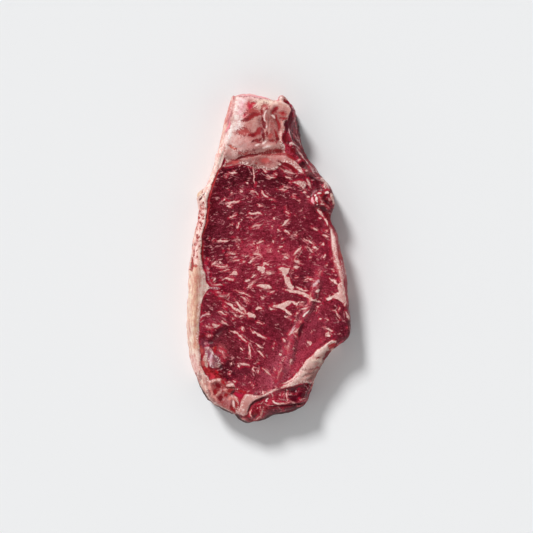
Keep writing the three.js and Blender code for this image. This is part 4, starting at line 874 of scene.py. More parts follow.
# Grain of the lean at places on the face: place, degrees from +X, flecks per square centimetre.
GRAIN = [
    ((-22, 50), 12, 6.0), ((2, 48), -4, 6.5), ((20, 46), -12, 5.0), ((-28, 30), 14, 6.0),
    ((-4, 30), 2, 7.0), ((18, 30), 4, 6.5), ((-30, 10), 8, 6.0), ((-8, 8), 6, 6.5), ((16, 8), -12, 6.5),
    ((34, 10), -24, 5.5), ((-28, -10), 4, 5.5), ((-4, -14), 8, 5.0), ((22, -12), -6, 3.4),
    ((40, -6), -14, 3.4), ((-32, -32), -26, 6.0), ((-12, -30), -34, 5.5), ((14, -38), -14, 3.4),
    ((38, -38), -32, 3.6), ((-20, -52), -33, 4.0), ((0, -52), -38, 3.6), ((24, -48), -26, 3.0),
    ((-18, -68), -24, 5.0), ((4, -66), -58, 3.2), ((-22, -82), -8, 5.0), ((-4, -80), -40, 4.5),
    ((14, -88), -8, 3.5), ((42, -50), -20, 3.2),
]
GRAIN_REACH = 11.0  # how far in mm a row of GRAIN counts
GRAIN_CLASSES = (10, -12, -34, -58)  # the directions that the material's fibres come in, in degrees
GRAIN_EDGE = (0.25, 0.75)  # shares between which one direction gives way to the next

# Random strokes, in mm and degrees: where they lie and the ranges of their measures.
CENTIMETRE = 10
FLECKS = {"x": (-50, 54), "y": (-102, 102), "spread": 16, "length": (0.8, 3.4), "half_width": (0.14, 0.42)}
STRANDS = {
    "share": (0.4, 0.9), "extra": 0.6, "place": (0.1, 0.9), "away": (0.2, 0.9), "slant": 0.12,
    "half_width": (0.12, 0.34),
}
CAP_DASHES = {
    "count": 18, "y": (-4, 36), "x": (-48.2, -43.4), "aside": (-2.2, 2.2), "turn": (50, 115),
    "reach": (0.5, 1.0), "half_width": (0.25, 0.42),
}

# ---- How the paint is laid, in mm ----

STROKE_TRIM = 0.92  # how wide the marbling is laid, as a share of its written width
STROKE_SOFTNESS = (0.6, 1.15)  # how soft the marbling's edges are, drawn for each stroke
STROKE_TIP = 0.1  # how thick the two ends of a stroke are, as a share of its middle
STROKE_FULLNESS = 0.7  # the lower, the longer a stroke stays wide
STROKE_REACH = 4.0  # how far round a stroke its depth is worked out
NOWHERE = -9.0  # the depth where nothing is laid
DEPTH_LIMIT = 3  # depths are stored on the mesh up to this far inside and outside

# Depths at which a colour or a cover begins and is complete.
STROKE_EDGE = (-0.7, 0.2)
AREA_EDGE = (-0.8, 0.4)
AREA_TINT_EDGE = (-0.2, 0.6)
CAP_EDGE = (-0.5, 1.0)
RIND_DEPTH = (0.5, 7.0)

# How outlines waver: size of the lumps, reach, layers of the noise. FRAY is for the marbling alone.
WARP = {"size": 3.0, "reach": 0.45, "layers": (5, 9)}
FRAY = {"size": 1.5, "reach": 0.5, "layers": (13, 17)}

# How the paint goes down a wall: how far inwards it is taken from for each millimetre down, how it
# sways, and how quickly the marks fade.
PLAN_DRIFT = 0.3
CAP_DRIFT = 0.1
FLARED = (0.6, 3)  # flares over which the drift ends, as such a wall is seen from above
WALL_START = 0.5  # the share of the rim's roll that still counts as face
SWAY = {"reach": 1.6, "size": 9.0, "squeeze": (1, 1, 1.6), "below": (1, 9), "layers": (41, 47)}
MARK_FADE = 0.45
RIND_MARK_FADE = 0.15
FADE_BELOW = 1.5

# ---- Relief of fat, flecks and marks, in mm ----

# How far they stand up or lie down.
FAT_RISE = 0.16
FLECK_RISE = 0.06
MARK_DROP = 0.2
# Depths over which fat, flecks and marks reach that height.
FAT_SLOPE = (-0.3, 0.7)
FLECK_SLOPE = (-0.3, 0.2)
MARK_SLOPE = (-0.4, 0.5)
FACING_UP = (0.2, 0.8)  # upward parts of a normal that are a wall's and a face's
RELIEF_START = (6, 14)  # heights over which the fine relief sets in
FOOT = (0.0, 1.5)  # heights over which any of it does, so that the underside stays flat
# Unevenness: height, size of the lumps, octaves, layer of the noise, squeeze along x, y and z.
LEAN_LUMPS = [(0.16, 2.6, 2, 3, (0.4, 1, 1)), (0.18, 6.5, 1, 7, (1, 1, 1))]
FAT_LUMPS = [(0.12, 2.2, 2, 13, (1, 1, 1)), (0.2, 5.5, 1, 17, (1, 1, 1))]
WALL_LUMPS = [(0.3, 4.0, 3, 21, (1, 1, 0.6))]


# ---- Colours, distances and steps ----


def linear(rgb):
    """Linear light of a display colour written 0 to 255."""
    share = np.asarray(rgb, float) / 255
    return np.where(share <= 0.04045, share / 12.92, ((share + 0.055) / 1.055) ** 2.4)


def smoothstep(value, low, high):
    share = np.clip((value - low) / (high - low), 0, 1)
    return share * share * (3 - 2 * share)


def along_segment(points, start, end):
    """Distance of each point to the segment, and how far along the segment its nearest place is."""
    start = np.asarray(start, float)
    step = np.asarray(end, float) - start
    share = np.clip((points - start) @ step / max(step @ step, 1e-9), 0, 1)
    return np.linalg.norm(points - start - share[:, None] * step, axis=1), share


def distance_to_line(points, line):
    if len(line) == 1:
        return np.linalg.norm(points - np.asarray(line[0], float), axis=1)
    return np.min([along_segment(points, a, b)[0] for a, b in zip(line, line[1:])], axis=0)


def faded(points, line, half_width):
    return np.exp(-(distance_to_line(points, line) / half_width) ** 2)


def stroke_depth(points, half_width, line):
    """How deep inside a stroke each point lies; below 0 outside. The stroke thins out to both ends."""
    lengths = [math.dist(a, b) for a, b in zip(line, line[1:])]
    total = sum(lengths)
    done = 0
    depth = np.full(len(points), -np.inf)
    for (a, b), length in zip(zip(line, line[1:]), lengths):
        away, share = along_segment(points, a, b)
        middle = np.sin(np.pi * np.clip((done + share * length) / total, 0, 1))
        thickness = half_width * (STROKE_TIP + (1 - STROKE_TIP) * np.abs(middle) ** STROKE_FULLNESS)
        depth = np.maximum(depth, thickness - away)
        done += length
    return depth


def area_depth(points, outline):
    """How deep inside a closed outline each point lies; below 0 outside."""
    ends = outline[1:] + outline[:1]
    away = np.min([along_segment(points, a, b)[0] for a, b in zip(outline, ends)], axis=0)
    inside = np.zeros(len(points), bool)
    x, y = points.T
    for (ax, ay), (bx, by) in zip(outline, ends):
        crosses = (ay > y) != (by > y)
        if ay != by:
            inside ^= crosses & (x < ax + (y - ay) * (bx - ax) / (by - ay))
    return np.where(inside, away, -away)


# ---- Noise ----

NOISE_CELLS = 4096
NOISE_TABLE = np.random.default_rng(SEEDS["noise"]).uniform(-1, 1, NOISE_CELLS)
HASH = (73856093, 19349663, 83492791)  # primes that spread the cells over the table
LAYER_STEP = 31.7  # how many lumps apart two layers lie


def noise(points, size, layer=0):
    """Smooth noise from -1 to 1 with lumps of that size, in mm; each layer is another pattern."""
    scaled = points / size + LAYER_STEP * layer
    cell = np.floor(scaled).astype(np.int64)
    share = scaled - cell
    share = share * share * (3 - 2 * share)
    total = np.zeros(len(points))
    for corner in itertools.product((0, 1), repeat=3):
        x, y, z = (cell + corner).T
        key = (x * HASH[0] ^ y * HASH[1] ^ z * HASH[2]) % NOISE_CELLS
        total += np.prod(np.where(corner, share, 1 - share), axis=1) * NOISE_TABLE[key]
    return total


def rough(points, size, octaves, layer=0):
    """Noise with finer noise on it, each octave half the size and half the height."""
    return sum(0.5 ** n * noise(points, size / 2 ** n, layer + n) for n in range(octaves))


def lumps(points, waves):
    """The sum of rough noises: height, size, octaves, layer and squeeze along x, y and z of each."""
    return sum(height * rough(points * squeeze, *settings) for height, *settings, squeeze in waves)


def wavered(points, places, size, reach, layers):
    """The places, each moved by noise, up to about reach millimetres."""
    return places + reach * np.stack([rough(points, size, 2, layer) for layer in layers], axis=1)


def swell(x, y, waves):
    total = 0
    for wavelength, height, turn, phase in waves:
        along = x * math.cos(math.radians(turn)) + y * math.sin(math.radians(turn))
        total = total + height * np.sin(2 * math.pi * along / wavelength + phase)
    return total


# ---- The rim seen from above ----


def crowd(share):
    """Moves evenly spread grid lines a little towards both ends, where the rim turns."""
    return share - CROWDING * np.sin(2 * math.pi * share) / (2 * math.pi)


def spline(points, samples):
    """A smooth curve through the points, as samples evenly spread over its spans."""
    points = np.asarray(points, float)
    spans = len(points) - 1
    place = np.linspace(0, spans, samples + 1)
    span = np.minimum(place.astype(int), spans - 1)
    t = (place - span)[:, None]
    before, start = points[np.maximum(span - 1, 0)], points[span]
    end, after = points[span + 1], points[np.minimum(span + 2, spans)]
    v0, v1 = (end - before) / 2, (after - start) / 2
    return (
        (2 * start - 2 * end + v0 + v1) * t ** 3
        + (-3 * start + 3 * end - 2 * v0 - v1) * t ** 2
        + v0 * t + start
    )


def edge_points(name, start, end, cells):
    curve = spline([CORNERS[start], *EDGES[name], CORNERS[end]], CURVE_SAMPLES)
    length = np.concatenate([[0], np.cumsum(np.linalg.norm(np.diff(curve, axis=0), axis=1))])
    wanted = crowd(np.arange(cells + 1) / cells) * length[-1]
    return np.stack([np.interp(wanted, length, curve[:, n]) for n in (0, 1)], axis=1)


def rim_loop():
    """The closed rim, anticlockwise from above, beginning at the fat-side corner of the chine end."""
    across, along = CELLS["across"], CELLS["along"]
    chine = edge_points("chine", "fatChine", "boneChine", across)
    bone = edge_points("boneSide", "boneTail", "boneChine", along)[::-1]
    tail = edge_points("tail", "fatTail", "boneTail", across)[::-1]
    fat = edge_points("fatSide", "fatChine", "fatTail", along)[::-1]
    return np.concatenate([edge[:-1] for edge in (chine, bone, tail, fat)])


def inward_normals(loop):
    along = np.roll(loop, -NORMAL_REACH, axis=0) - np.roll(loop, NORMAL_REACH, axis=0)
    along /= np.linalg.norm(along, axis=1)[:, None]
    return np.stack([-along[:, 1], along[:, 0]], axis=1)


def rolls_at(points):
    """How the rim rolls over at each point: across, down and flare."""
    roll = np.tile([EDGE_ROLL["across"], EDGE_ROLL["down"], EDGE_ROLL["flare"]], (len(points), 1))
    for reach, added, line in ROLLS.values():
        share = 1 - smoothstep(distance_to_line(points, line), 0, reach)
        roll += share[:, None] * np.asarray(added)
    return roll


# ---- Heights ----


def face_height(points):
    height = THICKNESS + swell(points[:, 0], points[:, 1], FACE_SWELLS)
    for half_width, rise, line in RELIEF.values():
        height += rise * faded(points, line, half_width)
    return height


def rim_sections(rolls, top):
    """Upright sections of the rim from the flat base to the shoulder: insets and heights."""
    across, down, flare = rolls.T
    wall_top = top - down
    steps = []
    for n in range(RINGS["under"] + 1):
        turn = n / RINGS["under"] * math.pi / 2
        inset = BASE_ROLL["across"] * (1 - math.sin(turn))
        steps.append((inset + 0 * top, BASE_ROLL["down"] * (1 - math.cos(turn)) + 0 * top))
    for n in range(1, RINGS["wall"] + 1):
        share = n / RINGS["wall"]
        steps.append((0 * top, BASE_ROLL["down"] * (1 - share) + wall_top * share))
    for n in range(1, RINGS["over"] + 1):
        turn = n / RINGS["over"] * SHOULDER
        steps.append((across * (1 - math.cos(turn)), wall_top + down * math.sin(turn)))
    inset = np.stack([step[0] for step in steps], axis=1)
    z = np.stack([step[1] for step in steps], axis=1)
    return inset + flare[:, None] * np.minimum(z / wall_top[:, None], 1), z


def rim_band(loop, normals, rolls):
    """Points of the rim's band, loop by ring, from the base up to the shoulder."""
    top = face_height(loop + normals * (rolls[:, :1] + rolls[:, 2:]))
    inset, z = rim_sections(rolls, top)
    middle = np.sin(math.pi * z / top[:, None]) ** 2
    slanted = loop[:, 1:2] + SIDE_SLANT * z
    uneven = middle * swell(loop[:, :1], slanted, SIDE_SWELLS)
    place = loop[:, None, :] + normals[:, None, :] * (inset - uneven)[..., None]
    return np.concatenate([place, z[..., None]], axis=2)


def stretched_face(shoulder):
    """A grid stretched between the shoulder's four edges and evened out."""
    across, along = CELLS["across"], CELLS["along"]
    closed = np.concatenate([shoulder, shoulder[:1]])
    corner = [0, across, across + along, 2 * across + along, len(shoulder)]
    chine, bone, tail, fat = [closed[a:b + 1] for a, b in zip(corner, corner[1:])]
    tail, fat = tail[::-1], fat[::-1]
    a = crowd(np.arange(across + 1) / across)[:, None, None]
    b = crowd(np.arange(along + 1) / along)[None, :, None]
    corners = (
        (chine[0] * (1 - a) + chine[-1] * a) * (1 - b) + (tail[0] * (1 - a) + tail[-1] * a) * b
    )
    ruled = chine[:, None] * (1 - b) + tail[:, None] * b + fat[None] * (1 - a) + bone[None] * a
    grid = ruled - corners
    for _ in range(RELAX_PASSES):
        around = grid[:-2, 1:-1] + grid[2:, 1:-1] + grid[1:-1, :-2] + grid[1:-1, 2:]
        grid[1:-1, 1:-1] = around / 4
    return grid


def nearest_on_loop(points, loop):
    """Index of the nearest loop point, and the distance to it."""
    index = np.empty(len(points), int)
    away = np.empty(len(points))
    for part in np.array_split(np.arange(len(points)), SEARCH_PARTS):
        square = ((points[part, None] - loop[None]) ** 2).sum(axis=2)
        index[part] = square.argmin(axis=1)
        away[part] = np.sqrt(square.min(axis=1))
    return index, away


def roll_drop(rolls, away):
    """How far the face still lies below its full height, this far in from the shoulder."""
    across, down = rolls[:, 0], rolls[:, 1]
    share = np.clip((across * (1 - math.cos(SHOULDER)) + away) / across, 0, 1)
    return down * (1 - np.sqrt(1 - (1 - share) ** 2))


# ---- The mesh: points and faces ----


def steak_points():
    """All points, the rim's band of them, and the band's inward normals and rolls."""
    loop = rim_loop()
    normals = inward_normals(loop)
    rolls = rolls_at(loop)
    band = rim_band(loop, normals, rolls)
    shoulder = band[:, -1, :2]
    face = stretched_face(shoulder)[1:-1, 1:-1].reshape(-1, 2)
    nearest, away = nearest_on_loop(face, shoulder)
    face_z = face_height(face) - roll_drop(rolls[nearest], away)
    shrink = 1 - np.arange(1, BASE_RINGS) / BASE_RINGS
    base = band[:, None, 0, :2] * shrink[None, :, None]
    base = np.concatenate([base, np.zeros(base.shape[:2] + (1,))], axis=2)
    points = np.concatenate([
        band.reshape(-1, 3),
        np.column_stack([face, face_z]),
        base.reshape(-1, 3),
        np.zeros((1, 3)),
    ])
    return points, band, normals, rolls


def top_quads(loops, rings):
    """Quads of the face's grid, whose edge is the shoulder's ring of the band."""
    across, along = CELLS["across"], CELLS["along"]
    index = np.empty((across + 1, along + 1), int)
    shoulder = np.arange(loops) * rings + rings - 1
    index[:across, 0] = shoulder[:across]
    index[across, :along] = shoulder[across:across + along]
    index[across:0:-1, along] = shoulder[across + along:2 * across + along]
    index[0, along:0:-1] = shoulder[2 * across + along:]
    inner = (across - 1, along - 1)
    index[1:-1, 1:-1] = loops * rings + np.arange(math.prod(inner)).reshape(inner)
    return np.stack([index[:-1, :-1], index[1:, :-1], index[1:, 1:], index[:-1, 1:]], axis=-1)


def steak_faces(band):
    """Quads of the grid, the band and the base, and the triangles round the base's middle."""
    loops, rings = band.shape[:2]
    here = np.arange(loops)
    there = (here + 1) % loops
    low, next_low = here[:, None] * rings, there[:, None] * rings
    ring = np.arange(rings - 1)
    side = np.stack([low + ring, next_low + ring, next_low + ring + 1, low + ring + 1], axis=-1)
    first = loops * rings + (CELLS["across"] - 1) * (CELLS["along"] - 1)
    count = BASE_RINGS - 1
    columns = np.concatenate([low, first + here[:, None] * count + np.arange(count)], axis=1)
    under = np.stack(
        [columns[here, :-1], columns[here, 1:], columns[there, 1:], columns[there, :-1]], axis=-1
    )
    middle = np.full(loops, first + loops * count)
    fan = np.stack([columns[here, -1], middle, columns[there, -1]], axis=-1)
    quads = np.concatenate([part.reshape(-1, 4) for part in (top_quads(loops, rings), side, under)])
    return quads, fan


# ---- Painting ----


def tint(tones, points, tints):
    for colour, strength, half_width, line in tints.values():
        share = strength * faded(points, line, half_width)
        tones += share[:, None] * (linear(colour) - tones)
    return tones


def near(points, line, reach):
    """Which points lie in the line's box, widened by reach."""
    line = np.asarray(line, float)
    low, high = line.min(axis=0) - reach, line.max(axis=0) + reach
    return np.flatnonzero(((points > low) & (points < high)).all(axis=1))


def lay_stroke(depth, points, half_width, line, tones=None, colour=None, softness=1.0):
    """Adds a stroke to the depths, and its colour to the tones where it lies."""
    found = near(points, line, half_width + STROKE_REACH)
    new = stroke_depth(points[found], half_width, line) / softness
    if tones is not None:
        share = smoothstep(new, *STROKE_EDGE)[:, None]
        tones[found] += share * (linear(colour) - tones[found])
    depth[found] = np.maximum(depth[found], new)


def grain_at(places):
    """The grain's direction and the flecks' density at places, blended from the rows of GRAIN."""
    spots = np.array([spot for spot, _, _ in GRAIN], float)
    away = ((places[:, None] - spots[None]) ** 2).sum(axis=2)
    weight = np.exp(-away / GRAIN_REACH ** 2) + 1e-12
    weight /= weight.sum(axis=1)[:, None]
    return weight @ [turn for _, turn, _ in GRAIN], weight @ [count for _, _, count in GRAIN]


def grain_shares(turns):
    """How much of each class of grain there is for each direction, for all classes but the last."""
    classes = range(len(GRAIN_CLASSES))
    shares = [np.interp(turns, GRAIN_CLASSES[::-1], np.eye(len(classes))[n][::-1]) for n in classes]
    return np.stack([smoothstep(share, *GRAIN_EDGE) for share in shares[:-1]], axis=1)


def short_stroke(middle, reach):
    return [tuple(middle - reach), tuple(middle + reach)]


def random_flecks():
    """Short seeded strokes that follow the grain, as half width and line."""
    draw = np.random.default_rng(SEEDS["flecks"])
    (left, right), (low, high) = FLECKS["x"], FLECKS["y"]
    most = max(count for _, _, count in GRAIN)
    flecks = []
    for _ in range(int(most * ((right - left) / CENTIMETRE) * ((high - low) / CENTIMETRE))):
        place = np.array([draw.uniform(left, right), draw.uniform(low, high)])
        turn, density = (float(value[0]) for value in grain_at(place[None]))
        keep, spread = draw.uniform(), draw.normal(0, FLECKS["spread"])
        length = draw.uniform(*FLECKS["length"])
        half_width = draw.uniform(*FLECKS["half_width"])
        if keep * most > density:
            continue
        angle = math.radians(turn + spread)
        reach = length / 2 * np.array([math.cos(angle), math.sin(angle)])
        flecks.append((half_width, short_stroke(place, reach)))
    return flecks


def cap_dashes():
    """Short seeded dashes on the upper outer side of the fat cap, as half width and line."""
    draw = np.random.default_rng(SEEDS["cap dashes"])
    found = []
    for _ in range(CAP_DASHES["count"]):
        y = draw.uniform(*CAP_DASHES["y"])
        x = np.interp(y, CAP_DASHES["y"], CAP_DASHES["x"]) + draw.uniform(*CAP_DASHES["aside"])
        angle = math.radians(draw.uniform(*CAP_DASHES["turn"]))
        reach = draw.uniform(*CAP_DASHES["reach"]) * np.array([math.cos(angle), math.sin(angle)])
        half_width = draw.uniform(*CAP_DASHES["half_width"])
        found.append((half_width, short_stroke(np.array([x, y]), reach)))
    return found


def strands():
    """Fine seeded strokes along both sides of the marbling, which feather it."""
    draw = np.random.default_rng(SEEDS["strands"])
    found = []
    for half_width, line in MARBLING:
        start, end = np.asarray(line[0], float), np.asarray(line[-1], float)
        along = (end - start) / max(math.dist(start, end), 1e-6)
        across = np.array([-along[1], along[0]])
        for side in (-1, 1):
            length = math.dist(start, end) * draw.uniform(*STRANDS["share"]) + STRANDS["extra"]
            middle = start + (end - start) * draw.uniform(*STRANDS["place"])
            middle = middle + side * across * (half_width + draw.uniform(*STRANDS["away"]))
            reach = length / 2 * (along + across * draw.normal(0, STRANDS["slant"]))
            found.append((draw.uniform(*STRANDS["half_width"]), short_stroke(middle, reach)))
    return found


def painted_fat(points, places, below, rind):
    """Depth and tone of the fat at each point, with the painted highlights and the wedge's painted shade."""
    fat = np.full(len(points), NOWHERE)
    tones = np.tile(linear(FAT_TONES["marbling"]), (len(points), 1))
    for tone, outline in FAT_AREAS.values():
        depth = area_depth(places, outline)
        tones += smoothstep(depth, *AREA_EDGE)[:, None] * (linear(FAT_TONES[tone]) - tones)
        fat = np.maximum(fat, depth)
    in_area = smoothstep(fat, *AREA_TINT_EDGE)[:, None]
    tones += in_area * (tint(tones.copy(), places, FAT_TINTS) - tones)
    mottled = smoothstep(rough(points, *MOTTLING["noise"]), *MOTTLING["edge"])
    mottled *= faded(places, MOTTLING["line"], MOTTLING["half_width"])
    tones += MOTTLING["share"] * mottled[:, None] * (linear(MOTTLING["tone"]) - tones)
    tones += (rind * smoothstep(below, *RIND_DEPTH))[:, None] * (linear(RIND_TONE) - tones)
    frayed = wavered(points, places, **FRAY)
    softness = np.random.default_rng(SEEDS["softness"]).uniform(*STROKE_SOFTNESS, len(MARBLING))
    for soft, (half_width, line) in zip(softness, MARBLING):
        lay_stroke(fat, frayed, STROKE_TRIM * half_width, line, softness=soft)
    for tone, drawn in TONED_STROKES:
        for half_width, line in drawn:
            lay_stroke(fat, places, half_width, line, tones, FAT_TONES[tone], SOFT_TONES.get(tone, 1.0))
    return fat, tones


def painted_marks(points, places, below, rind):
    """Depth and tone of the marks, some of them painted shade, which fade down a wall, except the painted
    contact shadow along the rim.
    """
    marks = np.full(len(points), NOWHERE)
    tones = np.tile(linear(MARKS["blood"][0]), (len(points), 1))
    for name, (colour, softness, drawn) in MARKS.items():
        dashes = cap_dashes() if name == "dash" else []
        for half_width, line in [*drawn, *dashes]:
            lay_stroke(marks, places, half_width, line, tones, colour, softness)
    marks -= (MARK_FADE - RIND_MARK_FADE * rind) * np.maximum(below - FADE_BELOW, 0)
    # The painted contact shadow is laid again by the points' own places, so that it stays down the wall.
    colour, _, drawn = MARKS["rim contact shadow"]
    for half_width, line in drawn:
        lay_stroke(marks, points[:, :2], half_width, line, tones, colour)
    return marks, tones


def paint(points, places, below, rind):
    """Depths and tones of fat, flecks and marks at each point, painted highlights and shade among them, by
    the mesh's names for them.

    places are where on the plan a point takes them, below is how far under the shoulder it lies, and
    rind is 1 on the wall of the fat cap.
    """
    places = wavered(points, places, **WARP)
    lean = tint(np.tile(linear(LEAN_BASE), (len(points), 1)), places, LEAN_TINTS)
    fat, fat_tone_with_highlights_and_shade = painted_fat(points, places, below, rind)
    flecks = np.full(len(points), NOWHERE)
    for half_width, line in [*random_flecks(), *strands()]:
        lay_stroke(flecks, places, half_width, line)
    marks, mark_tone_with_shade = painted_marks(points, places, below, rind)
    turns, density = grain_at(places)
    return {
        "grain": grain_shares(turns),
        "fleck_share": density / max(count for _, _, count in GRAIN),
        "cap_share": smoothstep(area_depth(places, FAT_AREAS["fat cap"][1]), *CAP_EDGE),
        "lean_tone_with_shade": tint(lean, points[:, :2], EDGE_TINTS),
        "fat_tone_with_highlights_and_shade": tint(fat_tone_with_highlights_and_shade, points[:, :2], EDGE_TINTS),
        "mark_tone_with_shade": mark_tone_with_shade,
        "fat_depth": np.clip(fat, -DEPTH_LIMIT, DEPTH_LIMIT),
        "fleck_depth": np.clip(flecks, -DEPTH_LIMIT, DEPTH_LIMIT),
        "mark_depth": np.clip(marks, -DEPTH_LIMIT, DEPTH_LIMIT),
        "wet": np.max([faded(places, line, half_width) for half_width, line in WET.values()], axis=0),
    }


# ---- Building the piece ----


def plan_places(points, band, normals, rolls):
    """Where each point takes its paint from: its own place, moved inwards as a wall goes down.

    Also how far below the shoulder each point lies, and 1 on the wall of the fat cap.
    """
    loops, rings = band.shape[:2]
    drift = PLAN_DRIFT * (1 - smoothstep(rolls[:, 2], *FLARED))
    fat_side = np.arange(loops) >= 2 * CELLS["across"] + CELLS["along"]
    drift = np.where(fat_side, np.minimum(drift, CAP_DRIFT), drift)
    z = band[..., 2]
    below = np.maximum(z[:, -1:] - rolls[:, 1:2] * WALL_START - z, 0)
    moved = band[..., :2] + normals[:, None] * (drift[:, None] * below)[..., None]
    swayed = SWAY["reach"] * smoothstep(below, *SWAY["below"]).reshape(-1, 1)
    side = band.reshape(-1, 3)
    sway = [rough(side * SWAY["squeeze"], SWAY["size"], 2, layer) for layer in SWAY["layers"]]
    wall = slice(0, loops * rings)
    places = points[:, :2].copy()
    places[wall] = moved.reshape(-1, 2) + swayed * np.stack(sway, axis=1)
    depth_below = np.zeros(len(points))
    depth_below[wall] = below.ravel()
    rind = np.zeros(len(points))
    rind[wall] = np.repeat(fat_side, rings)
    return places, depth_below, rind


def outward(points, quads, fan):
    """Unit normals at the points."""
    triangles = np.concatenate([quads[:, :3], quads[:, [0, 2, 3]], fan])
    a, b, c = (points[triangles[:, n]] for n in range(3))
    flat = np.cross(b - a, c - a)
    normal = np.zeros_like(points)
    for n in range(3):
        np.add.at(normal, triangles[:, n], flat)
    return normal / np.maximum(np.linalg.norm(normal, axis=1), 1e-12)[:, None]


def fine_relief(points, places, painted, normal):
    """How far each point moves along its normal for what the CAD solid leaves out."""
    rise = np.zeros(len(points))
    for half_width, height, line in FINE_RELIEF.values():
        rise += height * faded(places, line, half_width)
    rise *= smoothstep(points[:, 2], *RELIEF_START)
    fat = smoothstep(painted["fat_depth"], *FAT_SLOPE)
    rise += FAT_RISE * fat + FLECK_RISE * smoothstep(painted["fleck_depth"], *FLECK_SLOPE)
    rise -= MARK_DROP * smoothstep(painted["mark_depth"], *MARK_SLOPE)
    rise += (1 - fat) * lumps(points, LEAN_LUMPS)
    rise += fat * lumps(points, FAT_LUMPS)
    rise += (1 - smoothstep(normal[:, 2], *FACING_UP)) * lumps(points, WALL_LUMPS)
    return rise * smoothstep(points[:, 2], *FOOT)


def shift_onto_node(points):
    """The move in millimetres that centres the points over the CAD node's box, on the height of its foot."""
    low, high = (np.array(corner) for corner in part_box("steak"))
    middle = (points.min(axis=0) + points.max(axis=0)) / 2
    shift = (low + high) / 2 / MM - middle
    shift[2] = low[2] / MM
    return shift


def add_attribute(mesh, name, values):
    if values.ndim == 2:
        colours = np.column_stack([values, np.ones(len(values))]).astype(np.float32)
        layer = mesh.attributes.new(name, "FLOAT_COLOR", "POINT")
        layer.data.foreach_set("color", colours.ravel())
        return
    layer = mesh.attributes.new(name, "FLOAT", "POINT")
    layer.data.foreach_set("value", values.astype(np.float32))


def mesh_of(name, points, quads, fan):
    """The mesh in metres of points in millimetres."""
    mesh = bpy.data.meshes.new(name)
    corners = np.concatenate([quads.ravel(), fan.ravel()])
    starts = np.concatenate([
        np.arange(len(quads)) * 4,
        len(quads) * 4 + np.arange(len(fan)) * 3,
    ])
    mesh.vertices.add(len(points))
    mesh.vertices.foreach_set("co", (points * MM).astype(np.float32).ravel())
    mesh.loops.add(len(corners))
    mesh.loops.foreach_set("vertex_index", corners.astype(np.int32))
    mesh.polygons.add(len(starts))
    mesh.polygons.foreach_set("loop_start", starts.astype(np.int32))
    mesh.update(calc_edges=True)
    mesh.validate()
    mesh.shade_smooth()
    return mesh


def build_steak():
    """The steak on the CAD node's place, and how far it was moved there."""
    points, band, normals, rolls = steak_points()
    quads, fan = steak_faces(band)
    places, below, rind = plan_places(points, band, normals, rolls)
    painted = paint(points, places, below, rind)
    shift = shift_onto_node(points)
    normal = outward(points, quads, fan)
    painted["wall"] = 1 - smoothstep(normal[:, 2], *FACING_UP)
    rise = fine_relief(points, places, painted, normal)
    moved = points + normal * rise[:, None] + shift
    moved[:, 2] = np.maximum(moved[:, 2], 0)
    mesh = mesh_of("steak_meat", moved, quads, fan)
    for name, values in painted.items():
        add_attribute(mesh, name, values)
    steak = bpy.data.objects.new("steak_meat", mesh)
    bpy.context.scene.collection.objects.link(steak)
    return steak, shift


# ---- The material ----

LEAN_DEEP = (76, 2, 20)
LEAN_CRIMSON = (178, 24, 52)
LEAN_PINK = (178, 70, 90)
FAT_PALE = (250, 224, 216)
RIND_STREAK = (204, 138, 126)
FLECK_TONE = (218, 150, 150)
FAT_EDGE_TONE = (190, 70, 84)
FAT_BLUSH = (198, 116, 110)
# What the tones of lean and fat are multiplied by, from one end of their unevenness to the other.
LEAN_SHADES = ((0.38, 0.12, 0.2, 1), (1.1, 1.14, 1.12, 1))
FAT_SHADES = ((1.12, 1.26, 1.26, 1), (0.84, 0.6, 0.6, 1))

# Noises of the material: size of the lumps in mm, detail, roughness.
NOISES = {"ragged": (0.9, 3.0, 0.6), "mottle": (2.6, 3.0, 0.6), "broad": (8.0, 2.0), "fine": (0.55, 1.0)}
# Noises drawn out along an axis: degrees it is turned by, stretch along each axis, size, detail.
DRAWN_NOISES = {"streaky": (4, (0.8, 4.0, 1.0), 1.6, 2.0), "rings": (0, (6.0, 6.0, 1.0), 1.1, 2.0)}
FIBRE_STRETCH = (3.6, 1.0, 1.0)
FIBRE_NOISE = (0.85, 3.0, 0.6)

# How much each noise counts in a sum of several.
RAGGED_EDGE = {"ragged": 0.35, "fibre": 0.55, "fine": 0.3}
STREAKS = {"fibre": 0.8, "fine": 0.7, "mottle": 0.3, "fleck share": 0.06}
MARK_EDGE = {"ragged": 2.2, "fine": 1.6, "mottle": 1.2}
LEAN_LEVEL = {"fibre": 0.5, "mottle": 0.4, "fine": 0.8}
FAT_VEINS = {"ragged": 0.45, "fine": 0.3, "fibre": 0.2, "mottle": 0.3}
HEIGHT = {"fibre": 0.6, "ragged": 0.3, "fine": 0.5}

# Steps: the values they begin and end at, and their results there, 0 and 1 if they aren't given.
STEPS = {
    "fat": (-0.2, 0.36),
    "fleck": (-0.25, 0.4),
    "streak": (0.2, 0.3, 0.0, 0.85),
    "streak on the wall": (0.0, 1.0, 1.0, 0.25),
    "mark": (-0.8, 0.25, 0.0, 0.96),
    "shade of the lean": (-0.17, 0.09),
    "pink of the lean": (0.02, 0.2, 0.0, 0.4),
    "deep lean": (0.5, 0.72, 0.0, 0.35),
    "lean beside fat": (-1.6, -0.15),
    "crimson beside fat": (0.42, 0.6, 0.05, 0.75),
    "veins of the fat": (-0.18, 0.18),
    "blush": (0.48, 0.66, 0.0, 0.35),
    "inside fat": (0.1, 0.6),
    "pale spots": (0.46, 0.6, 0.0, 0.75),
    "pale spots deep inside fat": (1.2, 2.4, 1.0, 0.2),
    "edge of the fat": (0.55, -0.1),
    "rings of the rind": (0.5, 0.66, 0.0, 0.5),
    "height on fat": (0.0, 1.0, 1.0, 0.5),
    "dryness": (0.3, 0.7, 0.27, 0.4),
}
RAGGEDNESS = 1.45  # how strongly the noises fray the edges of fat and flecks
